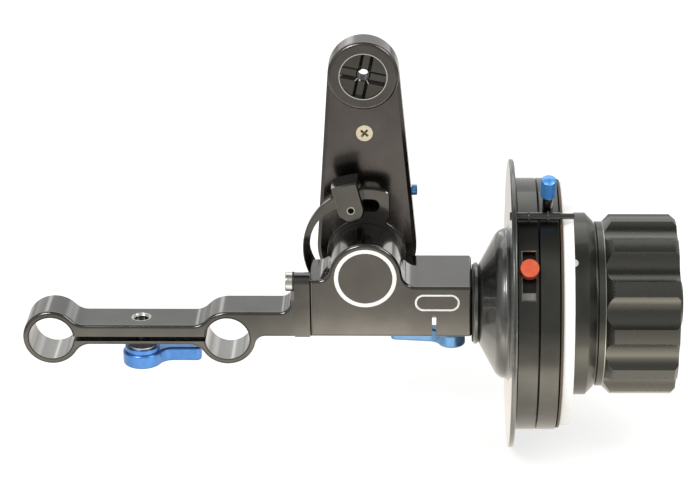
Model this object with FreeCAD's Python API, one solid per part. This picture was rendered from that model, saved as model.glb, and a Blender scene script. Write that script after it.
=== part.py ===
import FreeCAD, Part
import os
from math import acos, asin, cos, degrees, hypot, pi, radians, sin, sqrt, tan

# Follow focus unit for 15 mm support rods, millimetres.
# Origin: axis of the left rod bore at the bridge's front face.
# +X runs from the rods to the handwheel, +Y from the front face to the swing arm, +Z up.

V = FreeCAD.Vector
X_DIR = V(1, 0, 0)
Y_DIR = V(0, 1, 0)
Z_DIR = V(0, 0, 1)
ROUND = True

# ---- clearances -------------------------------------------------------------------------
rod_gap = 0.05            # rod bore over rod, radial
run_gap = 0.05            # shaft in bearing, radial
face_gap = 0.2            # between faces that turn past each other
seat_gap = 0.02           # between pieces that are screwed together
screw_gap = 0.1           # clearance hole over screw, radial
gear_backlash = 0.25
bevel_backlash = 0.16
gear_side_gap = 0.3

# ---- rod bridge -------------------------------------------------------------------------
rod_diameter = 15.0
rod_spacing = 60.0
rod_boss_wall = 2.15
bridge_depth = 15.0
bar_bottom_z = -2.5
bar_top_z = 4.7
block_bottom_z = 0.7
block_end_x = 83.0
bridge_blend = 6.0
bridge_edge = 1.0
block_blend = 3.6
lip_thickness = 1.4
lip_blend = 3.6
clamp_slot = 1.7
clamp_slot_z = -0.2
stud_hole_chamfer = 0.7

# ---- clamp levers and their studs -------------------------------------------------------
rod_stud_offset = 0.2
stud_radius = 2.4
stud_recess = 2.2
spacer_radius = 4.8
spacer_height = 2.6
washer_radius = 4.96
washer_height = 0.7
lever_collar_radius = 5.9
lever_collar_height = 1.4
lever_thickness = 5.0
lever_edge = 0.8
stud_tail = 1.2
rod_lever_hub = 6.8
rod_lever_reach = 20.0
rod_lever_front = 0.4
rod_lever_width = 5.8
barrel_stud_inset = 6.8
barrel_stud_wall = 0.6
barrel_lever_hub = 4.8
barrel_lever_reach = 21.2
barrel_lever_front = -0.2
barrel_lever_width = 4.3
barrel_lever_angle = 6.0
barrel_washer_radius = 4.2
barrel_stud_cap = 4.2
lever_blend = 4.5
lever_tip_round = 1.6

# ---- adapter plate and its screw --------------------------------------------------------
plate_thickness = 5.2
lug_radius = 3.1
lug_axis_z = 20.0
plate_screw_radius = 1.25
plate_screw_length = 11.5
screw_head_radius = 3.25
screw_head_height = 2.4
screw_washer_radius = 3.3
screw_washer_height = 0.6
socket_radius = 1.5
socket_depth = 1.3

# ---- gear housing -----------------------------------------------------------------------
housing_length = 54.8
housing_bottom_z = 0.8
barrel_top_z = 19.2
shoulder_top_z = 21.5
housing_depth = 18.4
barrel_depth = 27.3
barrel_length = 22.1
boss_radius = 12.3
shoulder_blend = 4.0
barrel_blend = 5.0
housing_edge = 1.0
slot_width = 1.4
slot_inset = 12.8
slot_top_z = 8.7

# ---- gear train -------------------------------------------------------------------------
pivot_inset = 18.8
pivot_z = 22.41
spur_module = 1.0
tooth_addendum = 0.85
tooth_dedendum = 1.1
cross_teeth = 10
pivot_teeth = 15
cross_width = 3.0
bevel_teeth = 12
bevel_radius = 4.0
bevel_face = 1.3
bevel_addendum = 0.4
bevel_dedendum = 0.6
wheel_y = 8.0
front_wall = 2.4
rear_plate = 2.0
plate_rim = 1.7
cross_arbor_radius = 1.5
cross_arbor_bearing = 1.2
pivot_arbor_radius = 3.0
arbor_bearing = 6.0
pivot_gear_width = 3.0
chamber_gap = 0.5

# ---- pivot, lock ring and swing arm -----------------------------------------------------
pivot_neck_radius = 8.5
lock_ring_thickness = 2.2
lock_ring_radius = 13.4
lock_ring_edge = 0.3
lock_lug_round = 2.0
lock_disc_x = 0.35
lock_disc_z = 2.8
lock_disc_radius = 22.1
crescent_x = -5.65
crescent_z = 4.7
crescent_radius = 13.6
crescent_end_angle = 112.0
lock_start_angle = 61.0
lock_lug_reach = 8.1
lock_end_angle = 235.0
lock_slot_radius = 19.0
lock_slot_width = 4.6
lock_slot_from_angle = 83.0
lock_slot_to_angle = 91.0
tab_angle = 104.3
tab_screw_orbit = 20.2
tab_top_radius = 29.7
tab_width = 9.0
tab_thickness = 6.3
tab_lip_reach = 2.8
tab_lip_height = 4.5
tab_edge = 0.5
tab_screw_radius = 1.4
tab_screw_socket = 1.05
collar_radius = 13.5
arm_gap = 0.3
arm_thickness = 7.4
arm_lean_angle = -0.78
train_length = 62.6
head_tip_gap = 0.57
idler_tip_gap = 0.27
arm_chamfer = 1.2
arm_wall = 1.2
arm_front_wall = 1.5
cover_thickness = 1.6
cover_rim = 0.7
large_teeth = 23
small_teeth = 19
train_face_gap = 0.3
neck_clip_radius = 9.4
neck_clip_thickness = 0.7
neck_clip_groove = 0.5
neck_clip_land = 0.2
neck_clip_mouth = 4.0
idler_pin_radius = 2.0
head_disc_height = 1.6
head_disc_edge = 1.2
collar_edge = 0.5
rim_radius = 8.26
rim_wall = 0.35
rim_lift = 0.25
coupler_sink = 0.5
coupler_hole = 2.0
coupler_hole_chamfer = 0.45
cross_channel = 2.2
cross_depth = 1.2
cross_corner = 0.6
cross_slope = 1.1
coupler_angle = 13.0
output_hub_radius = 5.0
output_tail_radius = 4.0
output_tail = 0.9
cover_screw_head = 2.85
cover_screw_sink = 1.3
cover_screw_shank = 1.2
cover_screw_length = 4.0
cover_screw_slot = 0.8
cover_screw_cross = 3.2
cover_screw_turn = 41.0
side_screw_height = 19.4
side_screw_head = 1.87
side_screw_head_length = 1.9
side_screw_shank = 1.0

# ---- bell, flange and index bar ---------------------------------------------------------
neck_tube_radius = 5.0
neck_tube_length = 30.0
thrust_collar_radius = 4.0
thrust_collar_width = 1.6
spindle_radius = 3.0
neck_washer_radius = 13.2
neck_washer_width = 0.4
neck_ring_radius = 13.9
neck_ring_width = 1.7
neck_ring_edge = 0.4
bell_width = 11.7
bell_root_radius = 13.2
bell_cone_length = 5.1
bell_cone_radius = 22.6
bell_round_length = 1.4
bell_round_radius = 24.5
bell_foot_length = 1.6
bell_crown_radius = 25.5
bell_foot_radius = 27.2
bell_wall = 2.2
flange_radius = 49.0
flange_width = 1.8
flange_edge = 0.7
flange_hole_radius = 20.0
core_wall = 2.5
bar_inset = 4.0
bar_angle = 63.5
bar_radius = 1.36
bar_tip_radius = 1.0
bar_length = 14.2
bar_tip_length = 4.6
bar_tail = 0.5
bumper_section = 0.27
bumper_sink = 0.1

# ---- stop rings -------------------------------------------------------------------------
ring_inset = 6.3
ring_wall = 4.7
ring_a_width = 6.7
ring_b_width = 6.4
ring_gap = 0.4
ring_edge = 0.15
button_angle = 38.2
button_offset = 3.5
button_radius = 3.05
button_neck_radius = 2.0
button_height = 5.2
button_cone = 0.9
button_travel = 0.9
window_from_angle = 25.5
window_to_angle = 47.6
window_width = 4.4
window_depth = 2.5
window_edge = 0.3
pad_to_angle = 28.8
pad_height = 1.5
knob_angle = 68.6
knob_offset = 2.7
knob_stem_radius = 1.75
knob_radius = 2.8
knob_stand = 7.9
knob_height = 6.7
knob_cone = 1.0
stem_sink = 2.3

# ---- handwheel --------------------------------------------------------------------------
disc_inset = 0.5
disc_width = 0.9
disc_gap = 0.4
disc_edge = 0.15
hub_radius = 10.0
drag_washer_radius = 9.0
drag_washer_width = 0.8
marking_inset = 0.9
marking_lip = 0.3
marking_width = 3.6
marking_wall = 4.0
base_radius = 30.9
base_width = 7.9
base_chamfer = 2.6
groove_depth = 3.6
groove_width = 0.9
neck_inset = 3.0
neck_width = 2.3
grip_inset = 0.4
grip_length = 24.3
grip_front_chamfer = 2.6
grip_end_chamfer = 1.2
grip_end_length = 1.2
grip_wall = 5.0
flute_count = 12
flute_radius = 8.0
flute_depth = 2.6
land_angle = 33.0
cap_radius = 8.2
cap_height = 2.9
cap_edge = 0.8
cap_rim = 2.2
cap_recess = 1.0

# ---- places that follow from the sizes above --------------------------------------------
rod_bore_radius = rod_diameter / 2 + rod_gap
rod_boss_radius = rod_bore_radius + rod_boss_wall
block_top_z = rod_boss_radius
lip_top_z = block_top_z + lip_blend + bridge_edge + seat_gap
bridge_mid_y = bridge_depth / 2
plate_x = block_end_x + seat_gap
housing_x = plate_x + plate_thickness + seat_gap
housing_end_x = housing_x + housing_length
pivot_x = housing_x + pivot_inset
barrel_start_x = housing_end_x - barrel_length
slot_x = housing_end_x - slot_inset
barrel_stud_x = housing_end_x - barrel_stud_inset
barrel_stud_y = wheel_y + neck_tube_radius + barrel_stud_wall + stud_radius
barrel_stud_top = barrel_top_z - barrel_stud_cap
rod_stud_x = rod_spacing / 2 + rod_stud_offset
gear_centres = spur_module * (cross_teeth + pivot_teeth) / 2
wheel_z = pivot_z - gear_centres
seat_y = housing_depth - rear_plate
lock_ring_y = housing_depth + face_gap
collar_y = lock_ring_y + lock_ring_thickness + face_gap
arm_front_y = barrel_depth + arm_gap
arm_rear_y = arm_front_y + arm_thickness
cavity_y = arm_front_y + arm_front_wall
cavity_end_y = arm_rear_y - cover_thickness
train_y = cavity_y + train_face_gap
train_end_y = cavity_end_y - train_face_gap
train_step = train_length / 3
train_module = 2 * train_step / (large_teeth + small_teeth)
large_tip_radius = train_module * (large_teeth / 2 + tooth_addendum)
small_tip_radius = train_module * (small_teeth / 2 + tooth_addendum)
arm_head_radius = small_tip_radius + head_tip_gap + arm_wall
idler_web_radius = large_tip_radius + idler_tip_gap + arm_wall
arm_low_radius = 3 * idler_web_radius - 2 * arm_head_radius
head_y = arm_front_y - head_disc_height
bevel_y = wheel_y + bevel_radius
cross_gear_y = bevel_y + bevel_addendum + gear_side_gap
pivot_gear_y = cross_gear_y
neck_ring_x = housing_end_x + neck_washer_width + 2 * seat_gap
flange_x = neck_ring_x + bell_width
flange_end_x = flange_x + flange_width
bar_orbit = flange_radius - bar_inset
ring_radius = flange_radius - ring_inset
core_radius = ring_radius - ring_wall
window_floor = ring_radius - window_depth
button_top = ring_radius + button_height
stem_seat = ring_radius - stem_sink
knob_start = ring_radius + knob_stand
knob_end = knob_start + knob_height
disc_radius = ring_radius - disc_inset
marking_outer = disc_radius - marking_inset
marking_inner = base_radius + marking_lip
groove_radius = base_radius - groove_depth
neck_radius = base_radius - neck_inset
grip_radius = base_radius - grip_inset
ring_a_x = flange_end_x + ring_gap
ring_b_x = ring_a_x + ring_a_width + ring_gap
ring_end_x = ring_b_x + ring_b_width
disc_x = ring_end_x + disc_gap
marking_x = disc_x + disc_width
base_x = marking_x + marking_width
grip_x = base_x + base_width + groove_width + neck_width
grip_end_x = grip_x + grip_length
spindle_x = pivot_x + bevel_radius - bevel_face
tube_x = neck_ring_x - neck_tube_length
bell_floor_x = neck_ring_x + neck_ring_width + bell_wall
neck_clip_y = cavity_y + seat_gap
neck_end_y = neck_clip_y + neck_clip_thickness + neck_clip_land


# ---- helpers ----------------------------------------------------------------------------
def box(x0, x1, y0, y1, z0, z1):
    return Part.makeBox(x1 - x0, y1 - y0, z1 - z0, V(x0, y0, z0))


def cyl_x(y, z, radius, x0, x1):
    return Part.makeCylinder(radius, x1 - x0, V(x0, y, z), X_DIR)


def cyl_y(x, z, radius, y0, y1):
    return Part.makeCylinder(radius, y1 - y0, V(x, y0, z), Y_DIR)


def cyl_z(x, y, radius, z0, z1):
    return Part.makeCylinder(radius, z1 - z0, V(x, y, z0), Z_DIR)


def fuse(first, *others):
    shape = first
    for other in others:
        shape = shape.fuse(other)
    return shape.removeSplitter()


def cut(shape, *tools):
    for tool in tools:
        shape = shape.cut(tool)
    return shape


def edges_where(shape, test):
    return [edge for edge in shape.Edges if test(edge)]


def runs_along(edge, axis):
    ends = [v.Point for v in edge.Vertexes]
    if len(ends) < 2:
        return False
    step = ends[1] - ends[0]
    return abs(step.dot(axis)) > 0.99 * step.Length and step.Length > 0.5


def at_xz(edge, x, z, reach=0.4):
    middle = edge.CenterOfMass
    return hypot(middle.x - x, middle.z - z) < reach


def at_xy(edge, x, y, reach=0.4):
    middle = edge.CenterOfMass
    return hypot(middle.x - x, middle.y - y) < reach


def in_plane(edge, axis, value):
    return all(abs(point.dot(axis) - value) < 1e-4 for point in edge.discretize(5))


def revolve_wheel(profile):
    """Solid of revolution about the wheel axis from (x, radius) corners.
    A corner with a third value is the middle of an arc between its neighbours."""
    corners = [corner for corner in profile if len(corner) == 2]
    middles = {}
    for index, corner in enumerate(profile):
        if len(corner) == 3:
            middles[profile[index - 1]] = V(corner[0], wheel_y, wheel_z + corner[1])
    sides = []
    for corner, following in zip(corners, corners[1:] + corners[:1]):
        start, end = [V(x, wheel_y, wheel_z + radius) for x, radius in (corner, following)]
        if corner in middles:
            sides.append(Part.Arc(start, middles[corner], end).toShape())
        else:
            sides.append(Part.LineSegment(start, end).toShape())
    return Part.Face(Part.Wire(sides)).revolve(V(0, wheel_y, wheel_z), X_DIR, 360)


def wheel_direction(angle):
    """Unit vector that leaves the wheel axis at an angle above the front."""
    return V(0, -cos(radians(angle)), sin(radians(angle)))


def wheel_point(x, radius, angle):
    return V(x, wheel_y, wheel_z) + wheel_direction(angle) * radius


def radial_pin(x, angle, radius, start, end):
    return Part.makeCylinder(radius, end - start, wheel_point(x, start, angle), wheel_direction(angle))


def radial_cone(x, angle, radius, tip_radius, start, end):
    foot = wheel_point(x, start, angle)
    return Part.makeCone(radius, tip_radius, end - start, foot, wheel_direction(angle))


def wheel_sector(x0, x1, r0, r1, from_angle, to_angle):
    """Part of a ring about the wheel axis between two angles above the front."""
    corners = [wheel_point(x0, r0, from_angle), wheel_point(x1, r0, from_angle)]
    corners += [wheel_point(x1, r1, from_angle), wheel_point(x0, r1, from_angle)]
    face = Part.Face(Part.makePolygon(corners + corners[:1]))
    return face.revolve(V(0, wheel_y, wheel_z), X_DIR, from_angle - to_angle)


def polar(angle, radius):
    """Point about the pivot; the angle is counted from +X towards +Z."""
    return pivot_x + radius * cos(radians(angle)), pivot_z + radius * sin(radians(angle))


def lean(shape):
    """Turns what is built along an upright arm to the arm's rest position."""
    shape.rotate(V(pivot_x, 0, pivot_z), Y_DIR, arm_lean_angle)
    return shape


def pivot_sector(from_angle, to_angle, radius, y0, y1):
    x, z = polar(from_angle, radius)
    face = Part.Face(Part.makePolygon([V(pivot_x, y0, pivot_z), V(x, y0, z), V(x, y1, z),
                                       V(pivot_x, y1, pivot_z), V(pivot_x, y0, pivot_z)]))
    return face.revolve(V(pivot_x, 0, pivot_z), Y_DIR, from_angle - to_angle)


def write(name, shape):
    shape.exportStep("parts/%s.step" % name)
    print("%-22s solids %d  valid %s  volume %.1f" % (name, len(shape.Solids), shape.isValid(), shape.Volume))


# ---- rod bridge -------------------------------------------------------------------------
def rod_bridge():
    bosses = [cyl_y(x, 0, rod_boss_radius, 0, bridge_depth) for x in (0, rod_spacing)]
    bar = box(0, rod_spacing, 0, bridge_depth, bar_bottom_z, bar_top_z)
    block = box(rod_spacing, block_end_x, 0, bridge_depth, block_bottom_z, block_top_z)
    lip = box(block_end_x - lip_thickness, block_end_x, 0, bridge_depth, block_bottom_z, lip_top_z)
    body = fuse(bosses[0], bosses[1], bar, block, lip)
    body = blend_bridge(body)
    rim = edges_where(body, lambda e: in_plane(e, Y_DIR, 0) or in_plane(e, Y_DIR, bridge_depth))
    rim = [e for e in rim if e.CenterOfMass.x < block_end_x - lip_blend]
    body = body.makeFillet(bridge_edge, rim)
    bores = [cyl_y(x, 0, rod_bore_radius, -1, bridge_depth + 1) for x in (0, rod_spacing)]
    slot_low = clamp_slot_z - clamp_slot / 2
    slot = box(0, rod_spacing, -1, bridge_depth + 1, slot_low, slot_low + clamp_slot)
    return cut(body, bores[0], bores[1], slot, rod_stud_hole())


def blend_bridge(body):
    top_x = sqrt(rod_boss_radius ** 2 - bar_top_z ** 2)
    low_x = sqrt(rod_boss_radius ** 2 - bar_bottom_z ** 2)
    corners = [(top_x, bar_top_z), (rod_spacing - top_x, bar_top_z),
               (low_x, bar_bottom_z), (rod_spacing - low_x, bar_bottom_z)]
    bends = edges_where(body, lambda e: runs_along(e, Y_DIR) and any(at_xz(e, x, z) for x, z in corners))
    body = body.makeFillet(bridge_blend, bends)
    under_x = rod_spacing + sqrt(rod_boss_radius ** 2 - block_bottom_z ** 2)
    lip_x = block_end_x - lip_thickness
    corners = [(under_x, block_bottom_z), (lip_x, block_top_z)]
    bends = edges_where(body, lambda e: runs_along(e, Y_DIR) and any(at_xz(e, x, z) for x, z in corners))
    return body.makeFillet(block_blend, bends)


def rod_stud_hole():
    y = bridge_mid_y
    shank = cyl_z(rod_stud_x, y, stud_radius + seat_gap, bar_bottom_z - 1, bar_top_z + 1)
    mouth = Part.makeCone(stud_radius, stud_radius + 2 * stud_hole_chamfer, 2 * stud_hole_chamfer,
                          V(rod_stud_x, y, bar_top_z - stud_hole_chamfer))
    return fuse(shank, mouth)


# ---- clamp levers -----------------------------------------------------------------------
def lever_top(hanger_z):
    return hanger_z - spacer_height - washer_height - seat_gap - lever_collar_height


def clamp_stud(x, y, hanger_z, top_z):
    low = lever_top(hanger_z) - lever_thickness + stud_tail
    return cyl_z(x, y, stud_radius, low, top_z)


def clamp_spacer(x, y, hanger_z, radius):
    ring = cyl_z(x, y, radius, hanger_z - spacer_height, hanger_z)
    return cut(ring, cyl_z(x, y, stud_radius, hanger_z - spacer_height - 1, hanger_z + 1))


def clamp_washer(x, y, hanger_z, radius):
    top = hanger_z - spacer_height
    ring = cyl_z(x, y, radius, top - washer_height, top)
    return cut(ring, cyl_z(x, y, stud_radius, top - washer_height - 1, top + 1))


def clamp_lever(x, y, hanger_z, hub, reach, front, width, side, collar):
    """Round hub with an offset flat handle; side is +1 or -1 along X."""
    top = lever_top(hanger_z)
    low = top - lever_thickness
    body = cyl_z(x, y, hub, low, top)
    tip_x = x + side * reach
    handle = box(min(x, tip_x), max(x, tip_x), y + front, y + front + width, low, top)
    tip = edges_where(handle, lambda e: runs_along(e, Z_DIR) and abs(e.CenterOfMass.x - tip_x) < 0.1)
    handle = handle.makeFillet(lever_tip_round, tip)
    body = fuse(body, handle)
    front_x = x + side * sqrt(hub ** 2 - front ** 2)
    bend = edges_where(body, lambda e: runs_along(e, Z_DIR) and at_xy(e, front_x, y + front))
    body = body.makeFillet(lever_blend, bend)
    rims = edges_where(body, lambda e: in_plane(e, Z_DIR, low) or in_plane(e, Z_DIR, top))
    body = body.makeFillet(lever_edge, rims)
    neck = cyl_z(x, y, collar, top - lever_edge, top + lever_collar_height)
    bore = cyl_z(x, y, stud_radius + run_gap, low + stud_tail - face_gap, top + lever_collar_height + 1)
    return cut(fuse(body, neck), bore)


def rod_lever():
    return clamp_lever(rod_stud_x, bridge_mid_y, bar_bottom_z, rod_lever_hub, rod_lever_reach,
                       rod_lever_front, rod_lever_width, 1, lever_collar_radius)


def barrel_lever():
    lever = clamp_lever(barrel_stud_x, barrel_stud_y, housing_bottom_z, barrel_lever_hub, barrel_lever_reach,
                        barrel_lever_front, barrel_lever_width, -1, barrel_washer_radius)
    lever.rotate(V(barrel_stud_x, barrel_stud_y, 0), Z_DIR, -barrel_lever_angle)
    return lever


# ---- adapter plate ----------------------------------------------------------------------
def adapter_plate():
    end_x = plate_x + plate_thickness
    low = box(plate_x, end_x, 0, bridge_depth, block_bottom_z, lip_top_z)
    lug = box(plate_x, end_x, 0, 2 * lug_radius, block_bottom_z, lug_axis_z)
    round_top = cyl_x(lug_radius, lug_axis_z, lug_radius, plate_x, end_x)
    hole = cyl_x(lug_radius, lug_axis_z, plate_screw_radius + screw_gap, plate_x - 1, end_x + 1)
    return cut(fuse(low, lug, round_top), hole)


def plate_washer():
    start = plate_x - seat_gap - screw_washer_height
    ring = cyl_x(lug_radius, lug_axis_z, screw_washer_radius, start, plate_x - seat_gap)
    return cut(ring, cyl_x(lug_radius, lug_axis_z, plate_screw_radius + screw_gap, start - 1, plate_x + 1))


def plate_screw():
    head_end = plate_x - 2 * seat_gap - screw_washer_height
    head_start = head_end - screw_head_height
    head = cyl_x(lug_radius, lug_axis_z, screw_head_radius, head_start, head_end)
    head = head.makeFillet(0.4, edges_where(head, lambda e: in_plane(e, X_DIR, head_start)))
    shank = cyl_x(lug_radius, lug_axis_z, plate_screw_radius, head_end - 0.5, head_end + plate_screw_length)
    socket = Part.makePolygon([V(head_start - 0.1, lug_radius + socket_radius * cos(radians(60 * k)),
                                 lug_axis_z + socket_radius * sin(radians(60 * k))) for k in range(7)])
    recess = Part.Face(socket).extrude(X_DIR * (socket_depth + 0.1))
    return cut(fuse(head, shank), recess)


# ---- gear housing -----------------------------------------------------------------------
def gear_housing():
    left = box(housing_x, pivot_x, 0, housing_depth, housing_bottom_z, shoulder_top_z)
    right = box(pivot_x, housing_end_x, 0, housing_depth, housing_bottom_z, barrel_top_z)
    boss = cyl_y(pivot_x, pivot_z, boss_radius, 0, housing_depth)
    body = fuse(left, right, boss)
    body = blend_shoulder(body, -1, shoulder_top_z, shoulder_blend)
    body = blend_shoulder(body, 1, barrel_top_z, barrel_blend)
    body = fuse(body, box(barrel_start_x, housing_end_x, housing_depth - 1, barrel_depth,
                          housing_bottom_z, barrel_top_z))
    rims = edges_where(body, lambda e: in_plane(e, Y_DIR, 0) or in_plane(e, X_DIR, housing_end_x))
    body = body.makeFillet(housing_edge, rims)
    return cut(body, wheel_bore(), gear_chamber(), rear_seat(), pivot_bearing(), cross_bearing(),
               plate_screw_hole(), cross_slot(), jaw_slit(), barrel_stud_hole())


def blend_shoulder(body, side, top_z, radius):
    corner_x = pivot_x + side * sqrt(boss_radius ** 2 - (top_z - pivot_z) ** 2)
    bend = edges_where(body, lambda e: runs_along(e, Y_DIR) and at_xz(e, corner_x, top_z))
    return body.makeFillet(radius, bend)


def wheel_bore():
    return cyl_x(wheel_y, wheel_z, neck_tube_radius + run_gap, pivot_x, housing_end_x + 1)


def cross_chamber_radius():
    return spur_module * (cross_teeth / 2 + 1) + chamber_gap


def pivot_chamber_radius():
    return spur_module * (pivot_teeth / 2 + 1) + chamber_gap


def gear_chamber():
    low = cyl_y(pivot_x, wheel_z, cross_chamber_radius(), front_wall, seat_y + 0.1)
    high = cyl_y(pivot_x, pivot_z, pivot_chamber_radius(), pivot_gear_y - chamber_gap, seat_y + 0.1)
    return fuse(low, high)


def rear_plate_outline(grow, y0, y1):
    low = cyl_y(pivot_x, wheel_z, cross_chamber_radius() + plate_rim + grow, y0, y1)
    high = cyl_y(pivot_x, pivot_z, pivot_chamber_radius() + plate_rim + grow, y0, y1)
    return fuse(low, high)


def rear_seat():
    return rear_plate_outline(seat_gap, seat_y, housing_depth + 1)


def pivot_bearing():
    return cyl_y(pivot_x, pivot_z, pivot_arbor_radius + run_gap, pivot_gear_y - arbor_bearing - face_gap,
                 pivot_gear_y)


def cross_bearing():
    return cyl_y(pivot_x, wheel_z, cross_arbor_radius + run_gap, front_wall - cross_arbor_bearing - face_gap,
                 front_wall + 1)


def plate_screw_hole():
    tip = plate_x - 2 * seat_gap - screw_washer_height + plate_screw_length
    return cyl_x(lug_radius, lug_axis_z, plate_screw_radius, housing_x - 1, tip + face_gap)


def cross_slot():
    half = slot_width / 2
    flat = box(slot_x - half, slot_x + half, -1, barrel_depth + 1, housing_bottom_z - 1, slot_top_z - half)
    return fuse(flat, cyl_y(slot_x, slot_top_z - half, half, -1, barrel_depth + 1))


def jaw_slit():
    return box(slot_x, housing_end_x + 1, wheel_y, barrel_depth + 1, slot_top_z - slot_width, slot_top_z)


def barrel_stud_hole():
    return cyl_z(barrel_stud_x, barrel_stud_y, stud_radius + seat_gap, housing_bottom_z - 1, barrel_stud_top)


def pivot_flange():
    """Rear plate of the gear chamber with the neck that the lock ring and the arm turn on."""
    plate = rear_plate_outline(0, seat_y + seat_gap, housing_depth)
    neck = cyl_y(pivot_x, pivot_z, pivot_neck_radius, seat_y + seat_gap, neck_end_y)
    bore = cyl_y(pivot_x, pivot_z, pivot_arbor_radius + run_gap, seat_y - 1, neck_end_y + 1)
    pocket = cyl_y(pivot_x, wheel_z, cross_arbor_radius + run_gap, seat_y - 1, cross_arbor_end() + face_gap)
    groove = neck_clip_ring(pivot_neck_radius + 1, pivot_neck_radius - neck_clip_groove)
    return cut(fuse(plate, neck), bore, pocket, groove)


def neck_clip_ring(outer, inner):
    y1 = neck_clip_y + neck_clip_thickness
    ring = cyl_y(pivot_x, pivot_z, outer, neck_clip_y, y1)
    return cut(ring, cyl_y(pivot_x, pivot_z, inner, neck_clip_y - 1, y1 + 1))


def neck_clip():
    """Open snap ring in the neck's groove, which keeps the arm on the neck."""
    ring = neck_clip_ring(neck_clip_radius, pivot_neck_radius - neck_clip_groove)
    half = neck_clip_mouth / 2
    mouth = box(pivot_x - half, pivot_x + half, neck_clip_y - 1, neck_clip_y + 2, pivot_z, 2 * pivot_z)
    return cut(ring, mouth)


# ---- gears ------------------------------------------------------------------------------
def involute(angle):
    return tan(angle) - angle


def spur_gear(x, z, teeth, module, y0, y1, bore, phase):
    """Spur gear about a Y axis; a tooth points at the phase angle, from +X towards +Z."""
    pitch = module * teeth / 2
    base = pitch * cos(radians(20))
    root = pitch - tooth_dedendum * module
    half = pi / (2 * teeth) - gear_backlash / (4 * pitch) + involute(radians(20))
    flank = []
    for radius in (root, max(base, root), pitch, pitch + tooth_addendum * module):
        flank.append((radius, half - involute(acos(min(1.0, base / max(radius, base))))))
    outline = []
    for tooth in range(teeth):
        middle = radians(phase) + 2 * pi * tooth / teeth
        sides = [(radius, middle - offset) for radius, offset in flank]
        sides += [(radius, middle + offset) for radius, offset in reversed(flank)]
        outline += [V(x + radius * cos(a), y0, z + radius * sin(a)) for radius, a in sides]
    kept = [point for index, point in enumerate(outline) if (point - outline[index - 1]).Length > 1e-4]
    blank = Part.Face(Part.makePolygon(kept + kept[:1])).extrude(Y_DIR * (y1 - y0))
    return cut(blank, cyl_y(x, z, bore, y0 - 1, y1 + 1))


def bevel_wheel(tooth_at_mesh):
    """Straight bevel gear about +X with its cone apex at the origin; the mesh line lies towards +Y."""
    low = bevel_radius - bevel_dedendum
    tip = bevel_radius + bevel_addendum
    inner = (bevel_radius - bevel_face) / bevel_radius
    blank = Part.makeCone(low * inner, low, bevel_face, V(bevel_radius * inner, 0, 0), X_DIR)
    quarter = bevel_radius * pi / (2 * bevel_teeth) - bevel_backlash / 2
    widths = ((low - 0.15, quarter * 1.5), (bevel_radius, quarter), (tip, quarter * 0.55))
    shape = blank
    shift = 0 if tooth_at_mesh else 180 / bevel_teeth
    for tooth in range(bevel_teeth):
        wires = []
        for scale in (1.0, inner):
            end_x = bevel_radius * scale
            side = [V(end_x, radius * scale, -half * scale) for radius, half in widths]
            back = [V(end_x, radius * scale, half * scale) for radius, half in reversed(widths)]
            wires.append(Part.makePolygon(side + back + side[:1]))
        solid = Part.makeLoft(wires, True, True)
        solid.rotate(V(0, 0, 0), X_DIR, 360 * tooth / bevel_teeth + shift)
        shape = shape.fuse(solid)
    return shape


def bevel_pinion():
    """Bevel gear on the spindle's inner end."""
    gear = bevel_wheel(True)
    gear.translate(V(pivot_x, wheel_y, wheel_z))
    return cut(gear, cyl_x(wheel_y, wheel_z, spindle_radius / 2, spindle_x - 1, spindle_x + 2 * bevel_radius))


def bevel_gear():
    """Bevel gear on the cross arbor, turned so that it faces the pinion."""
    gear = bevel_wheel(False)
    gear.rotate(V(0, 0, 0), Z_DIR, 90)
    gear.rotate(V(0, 0, 0), Y_DIR, 180)
    gear.translate(V(pivot_x, wheel_y, wheel_z))
    return cut(gear, cyl_y(pivot_x, wheel_z, cross_arbor_radius, wheel_y, bevel_y + 1))


def cross_arbor_end():
    return housing_depth - rear_plate / 2


def cross_arbor():
    start = front_wall - cross_arbor_bearing
    return cyl_y(pivot_x, wheel_z, cross_arbor_radius, start, cross_arbor_end())


def cross_pinion():
    return spur_gear(pivot_x, wheel_z, cross_teeth, spur_module, cross_gear_y, cross_gear_y + cross_width,
                     cross_arbor_radius, 90)


def pivot_gear():
    return spur_gear(pivot_x, pivot_z, pivot_teeth, spur_module, pivot_gear_y,
                     pivot_gear_y + pivot_gear_width, pivot_arbor_radius, 90)


def pivot_arbor():
    return cyl_y(pivot_x, pivot_z, pivot_arbor_radius, pivot_gear_y - arbor_bearing, train_end_y)


# ---- lock ring --------------------------------------------------------------------------
def lock_ring():
    """Turning plate behind the housing: a hub ring that carries a sickle-shaped handle."""
    y0 = lock_ring_y
    y1 = y0 + lock_ring_thickness
    reach = 2 * lock_disc_radius
    disc = cyl_y(pivot_x + lock_disc_x, pivot_z + lock_disc_z, lock_disc_radius, y0, y1)
    handle = disc.common(pivot_sector(lock_start_angle, lock_end_angle, reach, y0, y1))
    lug_x = pivot_x + lock_lug_reach
    handle = cut(handle, box(lug_x, lug_x + reach, y0 - 1, y1 + 1, pivot_z, pivot_z + reach))
    corners = edges_where(handle, lambda e: runs_along(e, Y_DIR) and lug_corner(e.CenterOfMass))
    handle = handle.makeFillet(lock_lug_round, corners)
    handle = handle.makeChamfer(lock_ring_edge, edges_where(handle, lambda e: in_plane(e, Y_DIR, y0)))
    hub = cyl_y(pivot_x, pivot_z, lock_ring_radius, y0, y1)
    window = cyl_y(pivot_x + crescent_x, pivot_z + crescent_z, crescent_radius, y0 - 1, y1 + 1)
    window = cut(window, hub, pivot_sector(0, crescent_end_angle, reach, y0 - 2, y1 + 2))
    plate = fuse(cut(handle, window), hub)
    bore = cyl_y(pivot_x, pivot_z, pivot_neck_radius + run_gap, y0 - 1, y1 + 1)
    return cut(plate, bore, lock_slot(y0 - 1, y1 + 1), tab_screw_hole(y1 + 1))


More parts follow.
